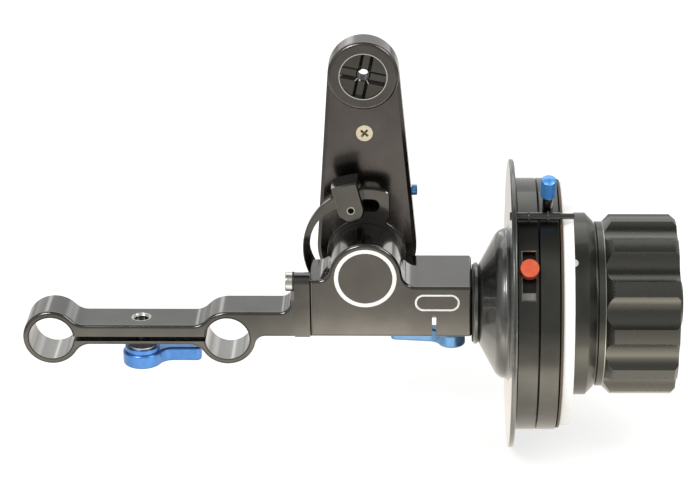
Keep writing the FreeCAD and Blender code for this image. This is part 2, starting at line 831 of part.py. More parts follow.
def lug_corner(point):
    return point.x > pivot_x and hypot(point.x - pivot_x, point.z - pivot_z) > lock_disc_radius - 1


def lock_slot(y0, y1):
    half = lock_slot_width / 2
    ends = []
    for angle in (lock_slot_from_angle, lock_slot_to_angle):
        x, z = polar(angle, lock_slot_radius)
        ends.append(cyl_y(x, z, half, y0, y1))
    band = cut(cyl_y(pivot_x, pivot_z, lock_slot_radius + half, y0, y1),
               cyl_y(pivot_x, pivot_z, lock_slot_radius - half, y0 - 1, y1 + 1))
    band = band.common(pivot_sector(lock_slot_from_angle, lock_slot_to_angle, 2 * lock_slot_radius, y0, y1))
    return fuse(ends[0], ends[1], band)


def lock_tab():
    y1 = lock_ring_y
    y0 = y1 - tab_thickness
    half = tab_width / 2
    foot = cyl_y(pivot_x, pivot_z + tab_screw_orbit, half, y0, y1)
    body = box(pivot_x - half, pivot_x + half, y0, y1, pivot_z + tab_screw_orbit,
               pivot_z + tab_top_radius + 1)
    lip = box(pivot_x - half, pivot_x + half, y1 - 1, y1 + tab_lip_reach,
              pivot_z + tab_top_radius - tab_lip_height, pivot_z + tab_top_radius + 1)
    crown = cyl_y(pivot_x, pivot_z, tab_top_radius, y0 - 1, y1 + tab_lip_reach + 1)
    tab = fuse(foot, body, lip).common(crown)
    front = edges_where(tab, lambda e: in_plane(e, Y_DIR, y0))
    tab = tab.makeChamfer(tab_edge, front)
    tab.rotate(V(pivot_x, 0, pivot_z), Y_DIR, 90 - tab_angle)
    return cut(tab, tab_screw_hole(y1 + 1))


def tab_screw_hole(y1):
    x, z = polar(tab_angle, tab_screw_orbit)
    return cyl_y(x, z, tab_screw_radius, lock_ring_y - tab_thickness - 1, y1)


def tab_screw():
    x, z = polar(tab_angle, tab_screw_orbit)
    y0 = lock_ring_y - tab_thickness - 0.15
    body = cyl_y(x, z, tab_screw_radius, y0, lock_ring_y + lock_ring_thickness)
    return cut(body, cyl_y(x, z, tab_screw_socket, y0 - 1, y0 + 2))


# ---- swing arm, built upright and then leaned -------------------------------------------
def arm_outline(low_radius, head_radius, y0, y1):
    slope = asin((low_radius - head_radius) / train_length)
    corners = []
    for side, radius, z in ((-1, low_radius, 0), (-1, head_radius, train_length),
                            (1, head_radius, train_length), (1, low_radius, 0)):
        corners.append(V(pivot_x + side * radius * cos(slope), y0, pivot_z + z + radius * sin(slope)))
    web = Part.Face(Part.makePolygon(corners + corners[:1])).extrude(Y_DIR * (y1 - y0))
    low = cyl_y(pivot_x, pivot_z, low_radius, y0, y1)
    head = cyl_y(pivot_x, pivot_z + train_length, head_radius, y0, y1)
    return fuse(web, low, head)


def station(index):
    return pivot_z + index * train_step


def arm_case():
    body = arm_outline(arm_low_radius, arm_head_radius, arm_front_y, arm_rear_y)
    body = body.makeChamfer(arm_chamfer, edges_where(body, lambda e: in_plane(e, Y_DIR, arm_front_y)))
    head = cyl_y(pivot_x, station(3), arm_head_radius, head_y, cavity_y)
    head = head.makeFillet(head_disc_edge, edges_where(head, lambda e: in_plane(e, Y_DIR, head_y)))
    cavity = arm_outline(arm_low_radius - arm_wall, arm_head_radius - arm_wall, cavity_y, arm_rear_y + 1)
    seat = arm_outline(arm_low_radius - cover_rim, arm_head_radius - cover_rim, cavity_end_y, arm_rear_y + 1)
    pivot_hole = cyl_y(pivot_x, pivot_z, pivot_neck_radius + run_gap, arm_front_y - 1, cavity_y + 1)
    head_hole = cyl_y(pivot_x, station(3), rim_radius, head_y - 1, cavity_y + 1)
    return lean(cut(fuse(body, head), cavity, seat, pivot_hole, head_hole, cover_screw_hole(),
                    side_screw_hole()))


def arm_cover():
    body = arm_outline(arm_low_radius - cover_rim - seat_gap, arm_head_radius - cover_rim - seat_gap,
                       cavity_end_y + seat_gap, arm_rear_y)
    hole = cyl_y(pivot_x, station(3), output_tail_radius + run_gap, cavity_end_y - 1, arm_rear_y + 1)
    return lean(cut(body, hole))


def pivot_collar():
    ring = cyl_y(pivot_x, pivot_z, collar_radius, collar_y, arm_front_y)
    ring = ring.makeFillet(collar_edge, edges_where(ring, lambda e: in_plane(e, Y_DIR, collar_y)))
    return cut(ring, cyl_y(pivot_x, pivot_z, pivot_neck_radius + run_gap, collar_y - 1, arm_front_y + 1))


def cover_screw_body(grow):
    z = station(2)
    cone = Part.makeCone(cover_screw_head + grow, cover_screw_shank + grow, cover_screw_sink,
                         V(pivot_x, arm_front_y, z), Y_DIR)
    shank = cyl_y(pivot_x, z, cover_screw_shank + grow, arm_front_y, arm_front_y + cover_screw_length)
    return fuse(cone, shank)


def cover_screw_hole():
    return cover_screw_body(seat_gap)


def cover_screw():
    z = station(2)
    half = cover_screw_slot / 2
    reach = cover_screw_cross / 2
    y0 = arm_front_y - 1
    y1 = arm_front_y + cover_screw_sink
    across = box(pivot_x - reach, pivot_x + reach, y0, y1, z - half, z + half)
    upright = box(pivot_x - half, pivot_x + half, y0, y1, z - reach, z + reach)
    cross = fuse(across, upright)
    cross.rotate(V(pivot_x, 0, z), Y_DIR, cover_screw_turn)
    return lean(cut(cover_screw_body(0), cross))


def idler_pin(index):
    pin = cyl_y(pivot_x, station(index), idler_pin_radius, cavity_y, cavity_end_y)
    if index == 2:
        pin = cut(pin, cyl_y(pivot_x, station(2), cover_screw_shank + seat_gap, cavity_y - 1,
                             arm_front_y + cover_screw_length + seat_gap))
    return lean(pin)


def train_gear(index, bore):
    teeth = large_teeth if index % 2 == 0 else small_teeth
    return spur_gear(pivot_x, station(index), teeth, train_module, train_y, train_end_y, bore, 90)


def input_gear():
    """First gear of the arm, recessed round the neck's snap ring."""
    recess = cyl_y(pivot_x, pivot_z, neck_clip_radius + face_gap, train_y - 1, neck_end_y + face_gap)
    return lean(cut(train_gear(0, pivot_arbor_radius + run_gap), recess))


def idler_gear(index):
    return lean(train_gear(index, idler_pin_radius + run_gap))


def output_gear():
    gear = train_gear(3, coupler_hole)
    z = station(3)
    hub = cyl_y(pivot_x, z, output_hub_radius, cavity_y, train_y)
    tail = cyl_y(pivot_x, z, output_tail_radius, train_end_y, cavity_end_y + output_tail)
    hole = cyl_y(pivot_x, z, coupler_hole, cavity_y - 1, arm_rear_y + 1)
    return lean(cut(fuse(gear, hub, tail), hole))


def head_rim():
    z = station(3)
    ring = cyl_y(pivot_x, z, rim_radius - seat_gap, head_y - rim_lift, cavity_y)
    return lean(cut(ring, cyl_y(pivot_x, z, rim_radius - rim_wall, head_y - 1, cavity_y + 1)))


def cross_coupler():
    """Disc with four raised pads; the channels between them take the cross of a drive gear."""
    z = station(3)
    front = head_y + coupler_sink
    floor_y = front + cross_depth
    radius = rim_radius - rim_wall - run_gap
    disc = cyl_y(pivot_x, z, radius, front, cavity_y)
    across = cross_groove(z, front, floor_y, radius)
    upright = across.copy()
    upright.rotate(V(pivot_x, 0, z), Y_DIR, 90)
    disc = cut(disc, across, upright)
    reach = cross_channel + cross_slope
    inner = edges_where(disc, lambda e: at_xz(e, pivot_x, z, reach) and not in_plane(e, Y_DIR, floor_y))
    disc = disc.makeFillet(cross_corner, inner)
    hole = cyl_y(pivot_x, z, coupler_hole, front - 1, cavity_y + 1)
    mouth = Part.makeCone(coupler_hole + coupler_hole_chamfer, coupler_hole, coupler_hole_chamfer,
                          V(pivot_x, floor_y, z), Y_DIR)
    disc = cut(disc, hole, mouth)
    disc.rotate(V(pivot_x, 0, z), Y_DIR, coupler_angle)
    return lean(disc)


def cross_groove(z, front, floor_y, radius):
    """Channel with sloped sides across the coupler's face."""
    low = cross_channel / 2
    high = low + 2 * cross_slope
    mouth_y = 2 * front - floor_y
    x0 = pivot_x - radius
    profile = [V(x0, floor_y, z - low), V(x0, floor_y, z + low), V(x0, mouth_y, z + high),
               V(x0, mouth_y, z - high)]
    return Part.Face(Part.makePolygon(profile + profile[:1])).extrude(X_DIR * 2 * radius)


def side_face_x():
    return pivot_x + arm_low_radius - side_screw_height / train_length * (arm_low_radius - arm_head_radius)


def side_screw_hole():
    z = pivot_z + side_screw_height
    y = (arm_front_y + arm_rear_y) / 2
    return cyl_x(y, z, side_screw_shank + run_gap, side_face_x() - 2 * arm_wall, side_face_x() + 2)


def side_screw():
    z = pivot_z + side_screw_height
    y = (arm_front_y + arm_rear_y) / 2
    start = side_face_x() + face_gap
    head = cyl_x(y, z, side_screw_head, start, start + side_screw_head_length)
    head = head.makeChamfer(0.3, head.Edges[0:1])
    shank = cyl_x(y, z, side_screw_shank, side_face_x() - arm_wall, start + 0.3)
    return lean(fuse(head, shank))


# ---- bell and flange --------------------------------------------------------------------
def neck_washer():
    x0 = housing_end_x + seat_gap
    ring = cyl_x(wheel_y, wheel_z, neck_washer_radius, x0, x0 + neck_washer_width)
    return cut(ring, cyl_x(wheel_y, wheel_z, neck_tube_radius + run_gap, x0 - 1, x0 + neck_washer_width + 1))


def bearing_tube():
    """Tube that the spindle turns in; the clamp jaw of the housing grips it."""
    tube = cyl_x(wheel_y, wheel_z, neck_tube_radius, tube_x, bell_floor_x)
    return cut(tube, cyl_x(wheel_y, wheel_z, spindle_radius + run_gap, tube_x - 1, bell_floor_x + 1))


def bell():
    """Neck ring, flared cone and rounded shoulder, hollow towards the flange."""
    x0 = neck_ring_x
    x1 = flange_x
    ring_end = x0 + neck_ring_width
    cone_end = ring_end + bell_cone_length
    round_x = cone_end + bell_round_length
    foot_x = x1 - bell_foot_length
    edge = neck_ring_edge
    outside = [(x0, neck_tube_radius), (x0, neck_ring_radius - edge), (x0 + edge, neck_ring_radius),
               (ring_end - edge, neck_ring_radius), (ring_end, bell_root_radius),
               (cone_end, bell_cone_radius), (round_x, bell_round_radius, ROUND), (foot_x, bell_crown_radius),
               (x1 - bell_foot_length / 3, bell_crown_radius + edge, ROUND), (x1, bell_foot_radius)]
    inside = [(x1, bell_crown_radius - bell_wall), (round_x, bell_cone_radius - bell_wall),
              (bell_floor_x, bell_root_radius - bell_wall), (bell_floor_x, neck_tube_radius)]
    return revolve_wheel(outside + inside)


def stop_flange():
    """Thin round flange between the bell and the stop rings."""
    edge = flange_edge
    x0 = flange_x + seat_gap
    x1 = flange_end_x
    bow = edge * (1 - cos(radians(45)))
    profile = [(x0, flange_hole_radius), (x0, flange_radius - edge),
               (x0 + bow, flange_radius - bow, ROUND), (x0 + edge, flange_radius),
               (x1 - edge, flange_radius), (x1 - bow, flange_radius - bow, ROUND),
               (x1, flange_radius - edge), (x1, flange_hole_radius)]
    return cut(revolve_wheel(profile), wheel_bar(bar_radius, x0 - 1, x1 + 1))


def core_ring():
    """Ring on the flange that the two stop rings turn on."""
    x0 = flange_end_x + seat_gap
    ring = cyl_x(wheel_y, wheel_z, core_radius, x0, ring_end_x)
    return cut(ring, cyl_x(wheel_y, wheel_z, core_radius - core_wall, x0 - 1, ring_end_x + 1))


def wheel_bar(radius, x0, x1):
    return Part.makeCylinder(radius, x1 - x0, wheel_point(x0, bar_orbit, bar_angle), X_DIR)


def index_bar():
    x0 = flange_x + seat_gap - bar_tail
    x1 = flange_end_x + bar_length
    thick = wheel_bar(bar_radius, x0, x1)
    thin = wheel_bar(bar_tip_radius, x1 - 0.5, x1 + bar_tip_length)
    return fuse(thick, thin)


def bumper(x):
    """O-ring on the bar, which a stop runs up against."""
    orbit = bar_radius + bumper_section - bumper_sink
    ring = Part.makeTorus(orbit, bumper_section, wheel_point(x, bar_orbit, bar_angle), X_DIR)
    return cut(ring, wheel_bar(bar_radius, x - bar_radius, x + bar_radius))


# ---- stop rings -------------------------------------------------------------------------
def stop_ring(x0, width):
    e = ring_edge
    inner = core_radius + run_gap
    points = [(x0, inner), (x0, ring_radius - e), (x0 + e, ring_radius), (x0 + width - e, ring_radius),
              (x0 + width, ring_radius - e), (x0 + width, inner)]
    return revolve_wheel(points)


def button_x():
    return ring_a_x + button_offset


def stop_ring_a():
    half = window_width / 2
    x = button_x()
    window = wheel_sector(x - half, x + half, window_floor, ring_radius + 1,
                          window_from_angle, window_to_angle)
    guide = radial_pin(x, button_angle, button_neck_radius / 2 + run_gap, core_radius, window_floor + 1)
    ring = cut(stop_ring(ring_a_x, ring_a_width), window)
    mouth = edges_where(ring, lambda e: in_mouth(e, x - half, x + half))
    return cut(ring.makeChamfer(window_edge, mouth), guide)


def in_mouth(edge, x0, x1):
    """An edge of the window where it opens on the ring's outside."""
    points = edge.discretize(5)
    inside = all(x0 - 1e-3 < point.x < x1 + 1e-3 for point in points)
    outside = all(abs(hypot(point.y - wheel_y, point.z - wheel_z) - ring_radius) < 0.02 for point in points)
    return inside and outside and len(edge.Vertexes) == 2


def stop_pad():
    """Stepped block in the end of the window."""
    half = window_width / 2 - seat_gap
    x = button_x()
    top = window_floor + pad_height
    return wheel_sector(x - half, x + half, window_floor, top, window_from_angle + 0.1, pad_to_angle)


def stop_button():
    """Round push button on a neck that runs in the window, with a guide pin below."""
    x = button_x()
    head = ring_radius + button_travel + face_gap
    neck = window_floor + button_travel + face_gap
    cone = button_top - button_cone
    body = radial_pin(x, button_angle, button_radius, head, cone)
    crown = radial_cone(x, button_angle, button_radius, 0.35 * button_radius, cone, button_top)
    shank = radial_pin(x, button_angle, button_neck_radius, neck, head)
    foot = core_radius + button_travel + 2 * face_gap
    guide = radial_pin(x, button_angle, button_neck_radius / 2, foot, neck)
    return fuse(body, crown, shank, guide)


def knob_x():
    return ring_b_x + knob_offset


def stop_ring_b():
    socket = radial_pin(knob_x(), knob_angle, knob_stem_radius, stem_seat, ring_radius + 1)
    return cut(stop_ring(ring_b_x, ring_b_width), socket)


def stop_stem():
    thick = radial_pin(knob_x(), knob_angle, knob_stem_radius, stem_seat, knob_start - face_gap)
    pin = radial_pin(knob_x(), knob_angle, knob_stem_radius / 2, stem_seat, knob_end - 1.5)
    return fuse(thick, pin)


def stop_knob():
    body = radial_pin(knob_x(), knob_angle, knob_radius, knob_start, knob_end)
    crown = radial_cone(knob_x(), knob_angle, knob_radius, 0.4, knob_end, knob_end + knob_cone)
    bore = radial_pin(knob_x(), knob_angle, knob_stem_radius / 2 + run_gap, knob_start - 1,
                      knob_end - 1.5 + face_gap)
    return cut(fuse(body, crown), bore)


# ---- handwheel --------------------------------------------------------------------------
def wheel_spindle():
    thin = cyl_x(wheel_y, wheel_z, spindle_radius / 2, spindle_x, pivot_x + bevel_radius)
    thick = cyl_x(wheel_y, wheel_z, spindle_radius, pivot_x + bevel_radius, grip_end_x)
    return fuse(thin, thick)


def thrust_collar():
    """Collar on the spindle that bears on the inner end of the bearing tube."""
    x1 = tube_x - face_gap
    ring = cyl_x(wheel_y, wheel_z, thrust_collar_radius, x1 - thrust_collar_width, x1)
    return cut(ring, cyl_x(wheel_y, wheel_z, spindle_radius, x1 - thrust_collar_width - 1, x1 + 1))


def drag_washer():
    """Washer in the bell's floor that the hub turns against."""
    x0 = bell_floor_x + seat_gap
    ring = cyl_x(wheel_y, wheel_z, drag_washer_radius, x0, x0 + drag_washer_width)
    return cut(ring, cyl_x(wheel_y, wheel_z, spindle_radius + run_gap, x0 - 1, x0 + drag_washer_width + 1))


def wheel_hub():
    x0 = bell_floor_x + 2 * seat_gap + drag_washer_width
    hub = cyl_x(wheel_y, wheel_z, hub_radius, x0, disc_x)
    return cut(hub, cyl_x(wheel_y, wheel_z, spindle_radius, x0 - 1, disc_x + 1))


def marking_disc():
    """Black carrier disc behind the marking ring."""
    edge = disc_edge
    x0 = disc_x
    x1 = disc_x + disc_width
    return revolve_wheel([(x0, spindle_radius), (x0, disc_radius - edge), (x0 + edge, disc_radius),
                          (x1 - edge, disc_radius), (x1, disc_radius - edge), (x1, spindle_radius)])


def marking_ring():
    """White ring that takes the focus marks."""
    edge = disc_edge
    x0 = marking_x
    x1 = marking_x + marking_width
    bore = marking_inner - marking_wall
    return revolve_wheel([(x0, bore), (x0, marking_outer), (x1 - edge, marking_outer),
                          (x1, marking_outer - edge), (x1, bore)])


def knob_base():
    """Disc, rounded groove and neck between the marking ring and the knob."""
    x0 = base_x
    x1 = x0 + base_width
    x2 = x1 + groove_width
    x3 = x2 + neck_width
    chamfer = base_chamfer
    bore = marking_inner - marking_wall
    return revolve_wheel([(marking_x, spindle_radius), (marking_x, bore), (x0, bore), (x0, base_radius),
                          (x1 - chamfer, base_radius), (x1, base_radius - chamfer),
                          ((x1 + x2) / 2, groove_radius, ROUND), (x2, neck_radius), (x3, neck_radius),
                          (x3, spindle_radius)])


def fluted_knob():
    x0 = grip_x
    x1 = grip_end_x
    points = [(x0, spindle_radius), (x0, neck_radius), (x0 + grip_front_chamfer, grip_radius),
              (x1 - grip_end_length, grip_radius), (x1, grip_radius - grip_end_chamfer), (x1, spindle_radius)]
    body = revolve_wheel(points)
    wall = grip_radius - flute_depth - grip_wall
    hollow_x = x1 - grip_wall
    hollow = [(x0 - 1, cap_radius), (x0 - 1, wall), (hollow_x, wall), (hollow_x, cap_radius)]
    body = cut(body, revolve_wheel(hollow))
    orbit = grip_radius - flute_depth + flute_radius
    for index in range(flute_count):
        angle = land_angle + (index + 0.5) * 360 / flute_count
        cutter = Part.makeCylinder(flute_radius, grip_length + 2, wheel_point(x0 - 1, orbit, angle), X_DIR)
        body = body.cut(cutter)
    return body


def end_cap():
    """Round boss on the knob's end with a shallow dish."""
    x1 = grip_end_x + cap_height
    dish = cap_radius - cap_rim
    return revolve_wheel([(grip_end_x, 0.0), (grip_end_x, cap_radius), (x1 - cap_edge, cap_radius),
                          (x1, cap_radius - cap_edge), (x1, dish), (x1 - cap_recess, dish - cap_edge / 2),
                          (x1 - cap_recess, 0.0)])


def main():
    os.makedirs("parts", exist_ok=True)
    mid = bridge_mid_y
    low = bar_bottom_z
    barrel = (barrel_stud_x, barrel_stud_y, housing_bottom_z)
    write("rod_bridge", rod_bridge())
    write("rod_clamp_stud", clamp_stud(rod_stud_x, mid, low, bar_top_z - stud_recess))
    write("rod_clamp_spacer", clamp_spacer(rod_stud_x, mid, low, spacer_radius))
    write("rod_clamp_washer", clamp_washer(rod_stud_x, mid, low, washer_radius))
    write("rod_clamp_lever", rod_lever())
    write("adapter_plate", adapter_plate())
    write("plate_washer", plate_washer())
    write("plate_screw", plate_screw())
    write("gear_housing", gear_housing())
    write("pivot_flange", pivot_flange())
    write("neck_clip", neck_clip())
    write("barrel_clamp_stud", clamp_stud(*barrel, barrel_stud_top - face_gap))
    write("barrel_clamp_spacer", clamp_spacer(*barrel, barrel_washer_radius))
    write("barrel_clamp_washer", clamp_washer(*barrel, barrel_washer_radius))
    write("barrel_clamp_lever", barrel_lever())
    write("bevel_pinion", bevel_pinion())
    write("bevel_gear", bevel_gear())
    write("cross_arbor", cross_arbor())
    write("cross_pinion", cross_pinion())
    write("pivot_gear", pivot_gear())
    write("pivot_arbor", pivot_arbor())
    write("lock_ring", lock_ring())
    write("lock_tab", lock_tab())
    write("lock_tab_screw", tab_screw())
    write("pivot_collar", pivot_collar())
    write("arm_case", arm_case())
    write("arm_cover", arm_cover())
    write("cover_screw", cover_screw())
    write("idler_pin_1", idler_pin(1))
    write("idler_pin_2", idler_pin(2))
    write("arm_input_gear", input_gear())
    write("idler_gear_1", idler_gear(1))
    write("idler_gear_2", idler_gear(2))
    write("output_gear", output_gear())
    write("head_rim", head_rim())
    write("cross_coupler", cross_coupler())
    write("side_screw", side_screw())
    write("neck_washer", neck_washer())
    write("bearing_tube", bearing_tube())
    write("bell", bell())
    write("stop_flange", stop_flange())
    write("core_ring", core_ring())
    write("index_bar", index_bar())
    write("bumper_a", bumper(button_x()))
    write("bumper_b", bumper(knob_x()))
    write("stop_ring_a", stop_ring_a())
    write("stop_pad", stop_pad())
    write("stop_button", stop_button())
    write("stop_ring_b", stop_ring_b())
    write("stop_stem", stop_stem())
    write("stop_knob", stop_knob())
    write("wheel_spindle", wheel_spindle())
    write("thrust_collar", thrust_collar())
    write("drag_washer", drag_washer())
    write("wheel_hub", wheel_hub())
    write("marking_disc", marking_disc())
    write("marking_ring", marking_ring())
    write("knob_base", knob_base())
    write("fluted_knob", fluted_knob())
    write("end_cap", end_cap())


main()
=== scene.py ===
from math import cos, pi, radians, sin

import bpy
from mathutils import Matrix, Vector


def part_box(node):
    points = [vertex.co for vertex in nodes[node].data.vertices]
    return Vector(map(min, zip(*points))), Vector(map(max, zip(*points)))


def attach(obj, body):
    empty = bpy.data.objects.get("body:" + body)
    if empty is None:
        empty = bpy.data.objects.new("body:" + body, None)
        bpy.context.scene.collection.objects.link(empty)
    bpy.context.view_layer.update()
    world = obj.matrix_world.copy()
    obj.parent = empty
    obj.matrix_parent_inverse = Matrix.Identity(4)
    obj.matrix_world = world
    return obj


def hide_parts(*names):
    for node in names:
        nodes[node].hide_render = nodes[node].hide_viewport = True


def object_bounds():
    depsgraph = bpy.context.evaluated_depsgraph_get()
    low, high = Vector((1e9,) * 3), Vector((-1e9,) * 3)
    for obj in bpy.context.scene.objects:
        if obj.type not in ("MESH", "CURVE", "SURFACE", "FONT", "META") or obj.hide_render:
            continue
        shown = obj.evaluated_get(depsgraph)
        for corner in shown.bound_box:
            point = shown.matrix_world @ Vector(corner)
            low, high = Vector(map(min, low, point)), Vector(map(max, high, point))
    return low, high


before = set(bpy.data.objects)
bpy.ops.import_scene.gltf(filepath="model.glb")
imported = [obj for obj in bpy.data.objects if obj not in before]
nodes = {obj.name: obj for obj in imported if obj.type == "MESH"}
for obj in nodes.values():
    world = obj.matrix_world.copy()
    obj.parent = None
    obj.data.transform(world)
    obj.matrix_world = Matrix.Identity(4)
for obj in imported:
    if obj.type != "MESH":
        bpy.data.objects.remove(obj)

cad_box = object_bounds()
MM = 0.001

# Sizes and places are in millimetres, in the frame of the CAD model.
wheel_y, wheel_z = 8.0, 9.91
pivot_x, pivot_z = 107.04, 22.41

# Rod bridge: its two bores, the painted shade round their mouths, which stands in for a dark
# chamfer, and the countersink in its top.
bore_radius = 7.55
bore_places = ((0.0, 0.0), (60.0, 0.0))
bore_bright_reach = bore_radius + 0.04
bore_mouth_shade_reach = bore_radius + 0.5
top_hole, top_hole_reach = (30.2, 7.5), 3.35
top_hole_low, top_hole_high = 3.9, 20.0

# Long bore through the coupler and the output gear.
coupler_middle, coupler_hole_reach = (106.19, 85.0), 2.03

# The recess in the front of a small screw, where shade is painted, measured from that front.
recess_near, recess_far = 0.1, 20.0

# Rings of the wheel: where their corners begin, below which shade is painted, and where the
# painted highlight round the button's window begins.
ring_radius = 42.7
ring_corner = ring_radius - 0.03
window_highlight_from = ring_radius - 0.32
window_x, window_reach = 160.88, 2.6

# The painted highlight where the base's neck ends, for its lit edge, and how far its mask runs
# past the end.
neck_highlight, past_neck = 0.28, 1.0

# Printed ring and outline. The outline's corners take nearly half of its height, so that each
# end is round and its two corners don't meet.
mark_ring_radius, mark_ring_line = 10.5, 1.35
label_from_x, label_to_x = 123.69, 138.81
label_low_z, label_high_z = 10.52, 16.55
label_line = 0.65
label_corner = 0.497
print_height = 0.04

# Index dot, in degrees round the wheel and millimetres on its base.
dot_angle = 49.8
dot_radius, dot_offset = 1.4, 0.45
dot_height, dot_sunk = 0.05, 0.35
dot_edge, dot_gap = 0.03, 0.02

# Small blue knob, from the wheel's axis outwards. A crown step is an inset and a rise.
knob_angle = 68.6
knob_from, knob_to = 50.6, 57.3
knob_bore, knob_bore_depth = 0.93, 5.3
knurl_radius, knurl_depth = 2.8, 0.42
knurl_across, knurl_rows = 22, 9
knurl_point = 0.9 * knurl_depth
crown_steps = ((0.15, 0.1), (0.7, 0.36), (0.9, 0.24), (0.5, 0.06))
# The crown's painted highlight lies between these, from the wheel's axis outwards.
crown_near, crown_far = knob_to + 0.05, knob_to + 9

# Orange button, from the wheel's axis outwards: cap, neck and guide pin.
button_angle = 38.2
button_from, button_to = 43.8, 47.4
button_foot, button_end = 41.3, 39.3
button_radius, button_neck, button_rim = 3.05, 2.0, 1.2

# An inset so small that a face moved after it has straight walls.
straight = 0.001
# Two lengths in metres that differ by less than this are the same.
same = 1e-6


# ---- camera, floor and light ----------------------------------------------------------------
def linear(channel):
    """Linear value of one sRGB channel."""
    return channel / 12.92 if channel <= 0.04045 else ((channel + 0.055) / 1.055) ** 2.4


def colour(hex_code):
    """Linear RGBA of an sRGB hex value."""
    parts = (int(hex_code[i:i + 2], 16) / 255 for i in (0, 2, 4))
    return (*(linear(part) for part in parts), 1.0)


def add(tree, kind, values=None, **settings):
    """Add one node with its settings; a value that is a socket is linked, any other is set."""
    made = tree.nodes.new(kind)
    for name, value in settings.items():
        setattr(made, name, value)
    for name, value in (values or {}).items():
        if isinstance(value, bpy.types.NodeSocket):
            tree.links.new(value, made.inputs[name])
        else:
            made.inputs[name].default_value = value
    return made


def make_camera():
    """Long lens in front of the object, which looks down at it by 23 degrees."""
    data = bpy.data.cameras.new("front_camera")
    data.lens = 130.83
    data.sensor_width = 36
    data.shift_x = -0.0166
    camera = bpy.data.objects.new("front_camera", data)
    bpy.context.collection.objects.link(camera)
    camera.location = (0.126649, -0.780693, 0.368545)
    camera.rotation_euler = (radians(66.9789), radians(0.4554), radians(1.3258))
    bpy.context.scene.camera = camera


def make_lamp(name, place, aim, size, watts):
    """Softbox of a width and height in metres, turned to the point that it aims at."""
    data = bpy.data.lights.new(name, "AREA")
    data.shape = "RECTANGLE"
    data.size, data.size_y = size
    data.energy = watts
    lamp = bpy.data.objects.new(name, data)
    bpy.context.collection.objects.link(lamp)
    lamp.location = place
    lamp.rotation_euler = (Vector(aim) - Vector(place)).to_track_quat("-Z", "Y").to_euler()


def stepped(tree, value, start, steps):
    """A level that begins at start and changes in soft (from, to, change) steps with the value."""
    total = start
    for low, high, change in steps:
        rise = add(tree, "ShaderNodeMapRange", {
            "Value": value, "From Min": low, "From Max": high, "To Min": 0.0, "To Max": change},
            interpolation_type="SMOOTHSTEP")
        total = add(tree, "ShaderNodeMath", {
            0: total, 1: rise.outputs["Result"]}).outputs["Value"]
    return total


def make_world():
    """White tent: white to the camera, and in reflections a pale backdrop low behind the object
    between two bright strips, a dark room above it, a dim one before it and paler walls at both
    sides. The rounded front edges stay black."""
    # Along Y, from the front to the back.
    room_front, room_steps = 0.45, ((-0.6, -0.15, -0.32), (0.4, 0.93, 0.64))
    strips_start, strips_low = 0.0, ((0.8, 0.9, 1.0),)
    # Along X, from left to right.
    wall_left, wall_steps = 0.35, ((-0.8, -0.5, -0.35), (0.5, 0.8, 0.35))
    left_strip = ((-0.31, -0.26, 1.1), (-0.22, -0.17, -1.1))
    right_strip = ((0.29, 0.35, 0.6), (0.38, 0.44, -0.6))
    seen_level, matt_level = 1.0, 0.55

    world = bpy.data.worlds.new("white_tent")
    world.use_nodes = True
    tree = world.node_tree
    tree.nodes.clear()
    path = add(tree, "ShaderNodeLightPath")
    way = add(tree, "ShaderNodeTexCoord")
    axes = add(tree, "ShaderNodeSeparateXYZ", {"Vector": way.outputs["Generated"]})
    across, back = axes.outputs["X"], axes.outputs["Y"]
    room = stepped(tree, back, room_front, room_steps)
    walls = stepped(tree, across, wall_left, wall_steps)
    strips = add(tree, "ShaderNodeMath", {
        0: stepped(tree, across, strips_start, left_strip + right_strip),
        1: stepped(tree, back, strips_start, strips_low)}, operation="MULTIPLY")
    dim_room = add(tree, "ShaderNodeMath", {0: room, 1: walls})
    lit_room = add(tree, "ShaderNodeMath", {
        0: dim_room.outputs["Value"], 1: strips.outputs["Value"]})
    mirrored = add(tree, "ShaderNodeMath", {
        0: path.outputs["Is Glossy Ray"], 1: path.outputs["Is Transmission Ray"]},
        operation="MAXIMUM")
    unseen = add(tree, "ShaderNodeMix", {
        "Factor": mirrored.outputs["Value"], "A": matt_level, "B": lit_room.outputs["Value"]})
    strength = add(tree, "ShaderNodeMix", {
        "Factor": path.outputs["Is Camera Ray"], "A": unseen.outputs["Result"], "B": seen_level})
    tent = add(tree, "ShaderNodeBackground", {
        "Color": colour("FFFFFF"), "Strength": strength.outputs["Result"]})
    add(tree, "ShaderNodeOutputWorld", {"Surface": tent.outputs["Background"]})
    bpy.context.scene.world = world


